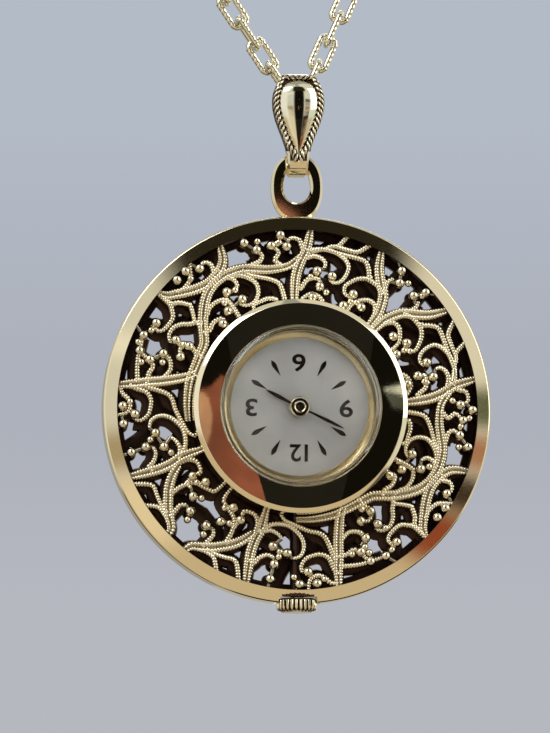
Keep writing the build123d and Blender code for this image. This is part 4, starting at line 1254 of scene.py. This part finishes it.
class WATCH_OT_bail(Operator):
    """Build the bail: folded strap, polished drop and rope edge"""

    bl_idname = "watch.bail"
    bl_label = "Bail"

    def execute(self, context):
        hang = sizes("watch_hang")
        middle = -(back_of("case_rim") + front_of("case_rim")) / 2
        tube_r = hang.tube_in + hang.strap_thick / 2
        tube_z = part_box("bail")[1].z - tube_r - hang.strap_thick / 2
        bend_r = hang.bend_in + hang.bend_thick / 2
        lean = math.asin((tube_r - bend_r) / (tube_z - hang.bend_z))
        stations = []

        def on_arc(z, radius, angle, width, thick):
            """Station on a bend about the middle at height z."""
            up = Vector((0, math.cos(angle), math.sin(angle)))
            stations.append((Vector((0, middle, z)) + up * radius, up, width, thick))

        def on_run(angle, start, end, steps, width_at):
            """Straight run from one tangent point to the next."""
            up = Vector((0, math.cos(angle), math.sin(angle)))
            ends = [Vector((0, middle, z)) + up * radius for z, radius in (start, end)]
            for step in range(1, steps):
                share = step / steps
                spot = ends[0].lerp(ends[1], share)
                share = share if start[1] > end[1] else 1 - share
                more = (hang.bend_thick - hang.strap_thick) * share**3
                stations.append((spot, up, width_at(spot.z), hang.strap_thick + more))

        front, rear = math.pi - lean, lean
        for step in range(21):
            angle = math.pi / 2 + (front - math.pi / 2) * step / 20
            z = tube_z + tube_r * math.sin(angle)
            grow = min(1, max(0, (step - 3) / 5))
            width = hang.strap_w + (2 * measured(PLATE_HALF, z) - hang.strap_w) * grow
            on_arc(tube_z, tube_r, angle, width, hang.strap_thick)
        on_run(front, (tube_z, tube_r), (hang.bend_z, bend_r), 28, lambda z: 2 * measured(PLATE_HALF, z))
        for step in range(25):
            share = step / 24
            angle = front + (math.pi + 2 * lean) * share
            width = hang.tab_w + (hang.strap_w - hang.tab_w) * share
            on_arc(hang.bend_z, bend_r, angle, width, hang.bend_thick)
        on_run(rear, (hang.bend_z, bend_r), (tube_z, tube_r), 16, lambda z: hang.strap_w)
        for step in range(15):
            on_arc(tube_z, tube_r, rear + (math.pi / 2 - rear) * step / 15, hang.strap_w, hang.strap_thick)
        rings = []
        for spot, up, width, thick in stations:
            half, tall = width / 2, thick / 2
            soft = tall * 0.35
            edge = ((half, -tall + soft), (half, tall - soft), (half - soft, tall), (half * 0.5, tall), (0, tall))
            pairs = [(-u, v) for u, v in edge] + [(u, v) for u, v in reversed(edge[:4])]
            pairs += [(u, -v) for u, v in edge[2:]] + [(-u, -v) for u, v in reversed(edge[2:4])]
            rings.append([spot + Vector((u, 0, 0)) + up * v for u, v in pairs])
        colours = sizes("watch_colours")
        gold = gold_plate("bail_gold_plate", colours.gold, 0.08)
        made = piece("bail_strap", Shape().rings(rings, closed=True), gold, "bail", ("bail",))
        # Painted shade: the front plate round the drop and under the rope is painted near black between the recess
        # heights
        second_finish(
            made, shade_and_oxidation_plate("bail_recess_oxide"),
            lambda spot, reach: spot.y < middle - hang.bend_in and RECESS[0] < spot.z < RECESS[1],
        )

        def on_plate(x, z):
            """Point on the front plate's surface."""
            spot = min(stations[8:50], key=lambda s: abs(s[0].z - z))
            near = stations[stations.index(spot) + (1 if spot[0].z > z else -1)]
            share = (z - spot[0].z) / (near[0].z - spot[0].z)
            place = (spot[0] + spot[1] * spot[3] / 2).lerp(near[0] + near[1] * near[3] / 2, share)
            return Vector((x, place.y, z))

        widest = max(half for z, half in DROP_HALF) * MM
        rings = []
        low, high = DROP_HALF[0][0], DROP_HALF[-1][0]
        for step in range(49):
            z = (low + (high - low) * (0.5 - 0.5 * math.cos(math.pi * step / 48))) * MM
            half = measured(DROP_HALF, z)
            rise = hang.dome_high * (half / widest) ** 0.75
            foot = on_plate(0, z) + Vector((0, hang.strap_thick * 0.3, 0))
            ring = []
            for turn in range(25):
                angle = math.pi * turn / 24
                proud = hang.strap_thick * 0.3 + rise * math.sin(angle)
                ring.append(foot + Vector((half * math.cos(angle), 0, 0)) + FRONT * proud)
            ring += [foot + Vector((-half, 0, 0)), foot + Vector((half, 0, 0))]
            rings.append(ring)
        polished = gold_plate("drop_gold_plate", colours.chain_gold, 0.03)
        piece("bail_drop", Shape().rings(rings), polished, "bail", (), 50)

        edges = []
        for spot, up, width, thick in stations[11:]:
            if spot.z < ROPE_END:
                break
            out = up * (thick / 2 + hang.rope_r * 0.46)
            meet = min(1, max(0.26, (spot.z - ROPE_MEET[0]) / (ROPE_MEET[1] - ROPE_MEET[0])))
            edges.append((spot + out, (width / 2 - hang.rope_r * 1.1) * meet))
        line = [spot + Vector((-half, 0, 0)) for spot, half in reversed(edges)]
        line += [edges[0][0] + Vector((edges[0][1] * share, 0, 0)) for share in (-0.5, 0, 0.5)]
        line += [spot + Vector((half, 0, 0)) for spot, half in edges]
        smooth = smooth_line(line, hang.rope_pitch / 7)

        def rope_section(travel, share):
            """Three strands that lean away from the middle, a little thinner at the top."""
            pairs = []
            lean_way = 1 if share < 0.5 else -1
            around = hang.rope_r * (1 - 0.17 * math.exp(-(((share - 0.5) / 0.13) ** 2)))
            for turn in turns(24):
                swell = 0.7 + 0.3 * abs(math.sin(math.pi * travel / hang.rope_pitch + lean_way * turn * 1.5))
                pairs.append((around * swell * math.cos(turn), around * swell * math.sin(turn)))
            return pairs

        rope = Shape()
        swept(rope, smooth, rope_section, lambda i: rope_up(smooth[i], middle, tube_z, hang.bend_z))
        piece("bail_rope", rope, cut_gold("rope_cast_gold", colours.scroll, 0.2, 0.505, 0.55), "bail", (), 60)
        return {"FINISHED"}


def rope_up(point, middle, tube_z, bend_z):
    """Outward direction of the bail's surface at a point."""
    centre = min(max(point.z, bend_z), tube_z)
    return Vector((0, point.y - middle, point.z - centre)).normalized()


def links_of(node):
    """Centre, long way and flat way of each link in a chain node, read from its mesh."""
    work = bmesh.new()
    work.from_mesh(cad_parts[node].data)
    bmesh.ops.remove_doubles(work, verts=work.verts, dist=2 * WELD)
    waiting, found = set(work.verts), []
    # In the mesh's own order, so that each run finds the links in the same order
    for first in work.verts:
        if first not in waiting:
            continue
        waiting.discard(first)
        group, todo = [], [first]
        while todo:
            vertex = todo.pop()
            group.append(vertex.co.copy())
            for edge in vertex.link_edges:
                other = edge.other_vert(vertex)
                if other in waiting:
                    waiting.discard(other)
                    todo.append(other)
        points = np.array([list(p) for p in group])
        centre = points.mean(0)
        ways = np.linalg.eigh(np.cov((points - centre).T))[1]
        flat = Vector(ways[:, 0])
        found.append((Vector(centre), Vector(ways[:, 2]), flat if flat.y < 0 else -flat))
    work.free()
    return found


class WATCH_OT_chain(Operator):
    """Build the oval links with their diagonal cuts"""

    bl_idname = "watch.chain"
    bl_label = "Chain"

    def execute(self, context):
        hang = sizes("watch_hang")
        gold = cut_gold("chain_gold_plate", sizes("watch_colours").chain_gold, 0.08, 0.44, 0.5)
        half_long = (hang.link_long - hang.link_wire) / 2
        half_wide = (hang.link_w - hang.link_wire) / 2
        radius = hang.link_wire / 2

        def cut_section(travel, share):
            """Round wire with shallow cuts that run round it aslant."""
            pairs = []
            for turn in turns(14):
                wave = 0.5 + 0.5 * math.cos(2 * math.pi * travel / hang.cut_pitch + 2 * turn)
                reach = radius * (1 - hang.cut_share * wave**3 * max(0, math.cos(turn - math.pi * 0.3)))
                pairs.append((reach * math.cos(turn), reach * math.sin(turn)))
            return pairs

        outline = oblong(half_long, half_wide, half_wide * hang.link_round, 48)
        for node, body in (
            ("chain_middle", "chain"), ("chain_left", "chain"), ("chain_right", "chain"),
            ("chain_held", "chain_hold"),
        ):
            shape = Shape()
            for centre, along, flat in links_of(node):
                across = flat.cross(along)
                line = [centre + along * u + across * v for u, v in outline]
                swept(shape, smooth_line(line, 0.09 * MM, closed=True), cut_section, flat, closed=True)
            piece(node + "_links", shape, gold, body, (node,), 45)
        return {"FINISHED"}


class WATCH_OT_movement(Operator):
    """Give the hidden movement its metals"""

    bl_idname = "watch.movement"
    bl_label = "Movement"

    def execute(self, context):
        finishes = {
            movement_metal("movement_brass", "#C9A961", 0.28): (
                "barrel", "centre_wheel", "third_wheel", "fourth_wheel", "minute_wheel", "hour_wheel",
            ),
            movement_metal("movement_nickel", "#C2C3C1", 0.3): (
                "main_plate", "barrel_bridge", "train_bridge", "balance_cock", "balance_wheel",
            ),
            movement_metal("movement_steel", "#A9ABAE", 0.2): (
                "cannon_pinion", "escape_wheel", "pallet_fork", "barrel_arbor", "mainspring", "ratchet_wheel",
                "crown_wheel", "winding_pinion", "sliding_pinion", "winding_stem", "click", "setting_lever", "yoke",
            ),
            movement_metal("movement_blued_steel", "#26375E", 0.22): ("hairspring", "movement_screws"),
            ruby("movement_ruby"): ("jewels",),
        }
        for material, nodes in finishes.items():
            for name in nodes:
                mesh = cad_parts[name].data
                mesh.materials.clear()
                mesh.materials.append(material)
        return {"FINISHED"}


# The photograph's frame in pixels, pixels to a metre, and where the rim's middle lies in it
PHOTO_W, PHOTO_H, PHOTO_SCALE = 550, 733, 9284.3
RIM_AT = (298.3, 408.6)
# The camera: degrees left of and below the dial's normal, distance in metres, sensor in mm
LEFT, BELOW, DISTANCE, SENSOR = 6, 7, 0.5, 36
# Half the floor's width, and how far it lies below the watch, in metres
FLOOR_HALF, FLOOR_BELOW = 3.0, 60 * MM
# What the bezel and the rim mirror: colour, glow, how far before the camera's plane, and the corners in mm
# of the patch that each card covers on the watch
BEZEL_CARDS = (
    ("warm_card", "#A45E48", 0.95, 0, (
        (-13, 1.2), (-9.6, 1.9), (-8.2, 3.0), (-6, 2), (-4.2, -3), (-2.2, -7.5), (-2.6, -10.5), (-4.6, -13.5),
        (-13, -9),
    )),
    ("salmon_card", "#D8A482", 1.12, 2 * MM, (
        (-13, 1.0), (-11, 1.3), (-9.9, 0.5), (-9.4, -1.3), (-9.8, -3.1), (-10.8, -4.9), (-13, -5.4),
    )),
    ("pale_card", "#F4FAEC", 1.1, 0, ((8.2, 1.7), (12.8, 2.9), (12.8, 1.1))),
    ("grey_card", "#666D62", 0.9, 2 * MM, ((8.4, 1.4), (12.8, 0.7), (12.8, -0.6), (9.6, -0.2))),
    ("low_card", "#D08A6C", 0.95, 0, ((-3.4, 23.0), (-1.6, 22.2), (0.2, 20.9), (0.6, 20.0), (-3.4, 20.0))),
)
# Corners in mm of the dark card that the bail's drop mirrors
DROP_CARD = ((3.3, -8), (11, -8), (18, 27), (-5, 27))
# Bands of the room: left, right, low and high edge, softness in degrees, then colour and glow
WINDOWS = (
    (-112, -6, -22, 80, 3, "#E3E3DA", 1.02), (16, 104, -24, 80, 3, "#EAE7DC", 1.05),
    (-80, 60, -72, -3.5, 3, "#E6D3B2", 0.88), (-40, -8, -11, -3, 2, "#F2E2C4", 1.05),
    (-40, -8, -1.5, 3.2, 1.5, "#BFAE8E", 0.9), (-40, -8, 13, 16, 1.5, "#F4F2E8", 1.15),
    (14, 38, -12, -6.4, 1.4, "#B45C3A", 0.7), (17, 38, -6, -1.6, 1.4, "#4A3A2C", 0.7),
    (20, 38, -0.8, 3.4, 1.2, "#BF8B6C", 0.9), (20, 38, 4.4, 9.2, 1.2, "#737A5C", 0.75),
    (-78, -26, -8, 48, 5, "#FBFBF4", 1.08), (34, 74, -6, 44, 3, "#E9F1E1", 1.05),
    (102, 200, -52, 70, 6, "#D6CFBE", 0.72), (122, 164, -32, 34, 5, "#F4EFE2", 1.0),
    (-200, -116, -52, 70, 6, "#CBC7BA", 0.6), (-5.5, 17, -8, 56, 2.5, "#14120E", 1.0),
    (-11, 22.5, 19, 56, 2.5, "#332F22", 0.75),
)
# Square lamps: place and size in metres, power in watts
LAMPS = (
    ("key_light", (-0.35, -0.4, 0.5), 0.4, 2.6),
    ("fill_light", (0.5, -0.3, 0.25), 0.5, 1.6),
    ("rim_light", (0.1, 0.5, 0.5), 0.4, 1.2),
)


def viewpoint():
    """Aim and place of the camera: a little left of and below the dial's normal."""
    left, below = math.radians(LEFT), math.radians(BELOW)
    across, up = (PHOTO_W / 2 - RIM_AT[0]) / PHOTO_SCALE, (RIM_AT[1] - PHOTO_H / 2) / PHOTO_SCALE
    aim = Vector((across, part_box("case_rim")[0].y, up))
    back = Vector((-math.sin(left) * math.cos(below), -math.cos(left) * math.cos(below), -math.sin(below)))
    return aim, aim + back * DISTANCE


class WATCH_OT_stage(Operator):
    """Set the floor, the cards that the gold mirrors, the soft room, the lamps and the camera"""

    bl_idname = "watch.stage"
    bl_label = "Stage"

    def execute(self, context):
        colours = sizes("watch_colours")
        scene = context.scene
        half, level = FLOOR_HALF, cad_box[0][2] - FLOOR_BELOW
        corners = [(-half, -half, level), (half, -half, level), (half, half, level), (-half, half, level)]
        floor = linked("floor", mesh_of("floor", corners, [(0, 1, 2, 3)]))
        floor.data.materials.append(floor_paper("floor_paper", colours.floor))
        floor.visible_glossy = False

        aim, eye = viewpoint()

        def mirrored(corners, nearer):
            """Places near the camera's plane that a flat mirror shows at the given x and z, in mm."""
            return [(2 * x * MM - eye.x, eye.y + nearer, 2 * z * MM - eye.z) for x, z in corners]

        def card(name, points, code, glow):
            """Card that only reflections see."""
            board = linked(name, mesh_of(name, points, [tuple(range(len(points)))]))
            board.data.materials.append(card_paper(name + "_paper", code, glow))
            for ray in ("camera", "shadow", "diffuse", "transmission"):
                setattr(board, "visible_" + ray, False)

        for name, code, glow, nearer, corners in BEZEL_CARDS:
            card(name, mirrored(corners, nearer), code, glow)
        card("drop_card", [(x * MM, -70 * MM, z * MM) for x, z in DROP_CARD], "#16140F", 1.0)

        world = bpy.data.worlds.new("soft_room")
        scene.world = world
        world.use_nodes = True
        tree = world.node_tree
        tree.nodes.clear()
        way = add_node(tree, "ShaderNodeTexCoord", out="Generated")
        parts = add_node(tree, "ShaderNodeSeparateXYZ", {"Vector": way}, None).outputs
        ahead = add_node(tree, "ShaderNodeMath", {0: parts["Y"], 1: -1}, operation="MULTIPLY")
        around = add_node(tree, "ShaderNodeMath", {0: parts["X"], 1: ahead}, operation="ARCTAN2")
        height = add_node(tree, "ShaderNodeMath", {0: parts["Z"]}, operation="ARCSINE")

        def span(value, low, high, soft):
            """One between two directions in degrees, fading out over soft degrees."""
            sides = [
                add_node(tree, "ShaderNodeMapRange", {
                    "Value": value, "From Min": math.radians(edge - soft), "From Max": math.radians(edge + soft),
                    "To Min": start, "To Max": 1 - start,
                }, interpolation_type="SMOOTHSTEP")
                for edge, start in ((low, 0), (high, 1))
            ]
            return add_node(tree, "ShaderNodeMath", {0: sides[0], 1: sides[1]}, operation="MULTIPLY")

        level = add_node(tree, "ShaderNodeMapRange", {"Value": parts["Z"], "From Min": -0.7, "From Max": 0.8})
        mixed = {SHARE: level, FIRST: shade(linear("#3E3730")), SECOND: shade(linear("#A9ACAA"))}
        room = add_node(tree, "ShaderNodeMix", mixed, MIX, data_type="RGBA")
        for left, right, low, high, soft, code, glow in WINDOWS:
            sides = {0: span(around, left, right, soft), 1: span(height, low, high, soft)}
            amount = add_node(tree, "ShaderNodeMath", sides, operation="MULTIPLY")
            mixed = {SHARE: amount, FIRST: room, SECOND: shade(linear(code), glow)}
            room = add_node(tree, "ShaderNodeMix", mixed, MIX, data_type="RGBA")
        behind = shade(colours.background)
        for from_z, to_z, code in ((0.125, 0.175, "#B3BBC7"), (0.11, 0.07, "#B6B8C0")):
            amount = add_node(
                tree, "ShaderNodeMapRange", {"Value": parts["Z"], "From Min": from_z, "From Max": to_z}
            )
            mixed = {SHARE: amount, FIRST: behind, SECOND: shade(linear(code))}
            behind = add_node(tree, "ShaderNodeMix", mixed, MIX, data_type="RGBA")
        # The camera sees the plain background; everything else is lit by the room
        sees = add_node(tree, "ShaderNodeLightPath", out="Is Camera Ray")
        lit, shown = (
            add_node(tree, "ShaderNodeBackground", {"Color": colour, "Strength": 1.0})
            for colour in (room, behind)
        )
        both = add_node(tree, "ShaderNodeMixShader", {0: sees, 1: lit, 2: shown})
        add_node(tree, "ShaderNodeOutputWorld", {"Surface": both}, None)

        target = Vector((0, -4 * MM, 3 * MM))
        for name, place, size, power in LAMPS:
            lamp = bpy.data.lights.new(name, "AREA")
            lamp.size, lamp.energy = size, power
            holder = linked(name, lamp)
            holder.location = place
            holder.rotation_euler = (target - Vector(place)).to_track_quat("-Z", "Y").to_euler()

        camera = bpy.data.cameras.new("photo_camera")
        holder = linked("photo_camera", camera)
        holder.location = eye
        holder.rotation_mode = "QUATERNION"
        holder.rotation_quaternion = (aim - eye).to_track_quat("-Z", "Y")
        camera.sensor_width = SENSOR
        camera.sensor_fit = "AUTO"
        camera.lens = SENSOR * PHOTO_SCALE * (aim - eye).length / PHOTO_H
        camera.clip_start, camera.clip_end = 0.01, 50
        scene.camera = holder
        scene.view_settings.view_transform = "Standard"
        return {"FINISHED"}


BUILDERS = (
    WATCH_OT_rim, WATCH_OT_scrollwork, WATCH_OT_back_plate, WATCH_OT_drum, WATCH_OT_crystal, WATCH_OT_dial,
    WATCH_OT_hands, WATCH_OT_crown, WATCH_OT_loop, WATCH_OT_bail, WATCH_OT_chain, WATCH_OT_movement, WATCH_OT_stage,
)
GROUPS = {
    "watch_case": CaseSizes,
    "watch_scroll": ScrollSizes,
    "watch_dial": DialSizes,
    "watch_hang": HangSizes,
    "watch_colours": FinishColours,
}


class WATCH_PT_panel(Panel):
    """Lists the pieces in the sidebar"""

    bl_label = "Pendant watch"
    bl_idname = "WATCH_PT_panel"
    bl_space_type = "VIEW_3D"
    bl_region_type = "UI"
    bl_category = "Watch"

    def draw(self, context):
        for builder in BUILDERS:
            self.layout.operator(builder.bl_idname)


def register():
    for cls in (*GROUPS.values(), *BUILDERS, WATCH_PT_panel):
        bpy.utils.register_class(cls)
    for name, group in GROUPS.items():
        setattr(bpy.types.Scene, name, PointerProperty(type=group))


def unregister():
    for name in GROUPS:
        delattr(bpy.types.Scene, name)
    for cls in reversed((*GROUPS.values(), *BUILDERS, WATCH_PT_panel)):
        bpy.utils.unregister_class(cls)


def main():
    register()
    for builder in BUILDERS:
        group, name = builder.bl_idname.split(".")
        getattr(getattr(bpy.ops, group), name)()


if __name__ == "__main__":
    main()
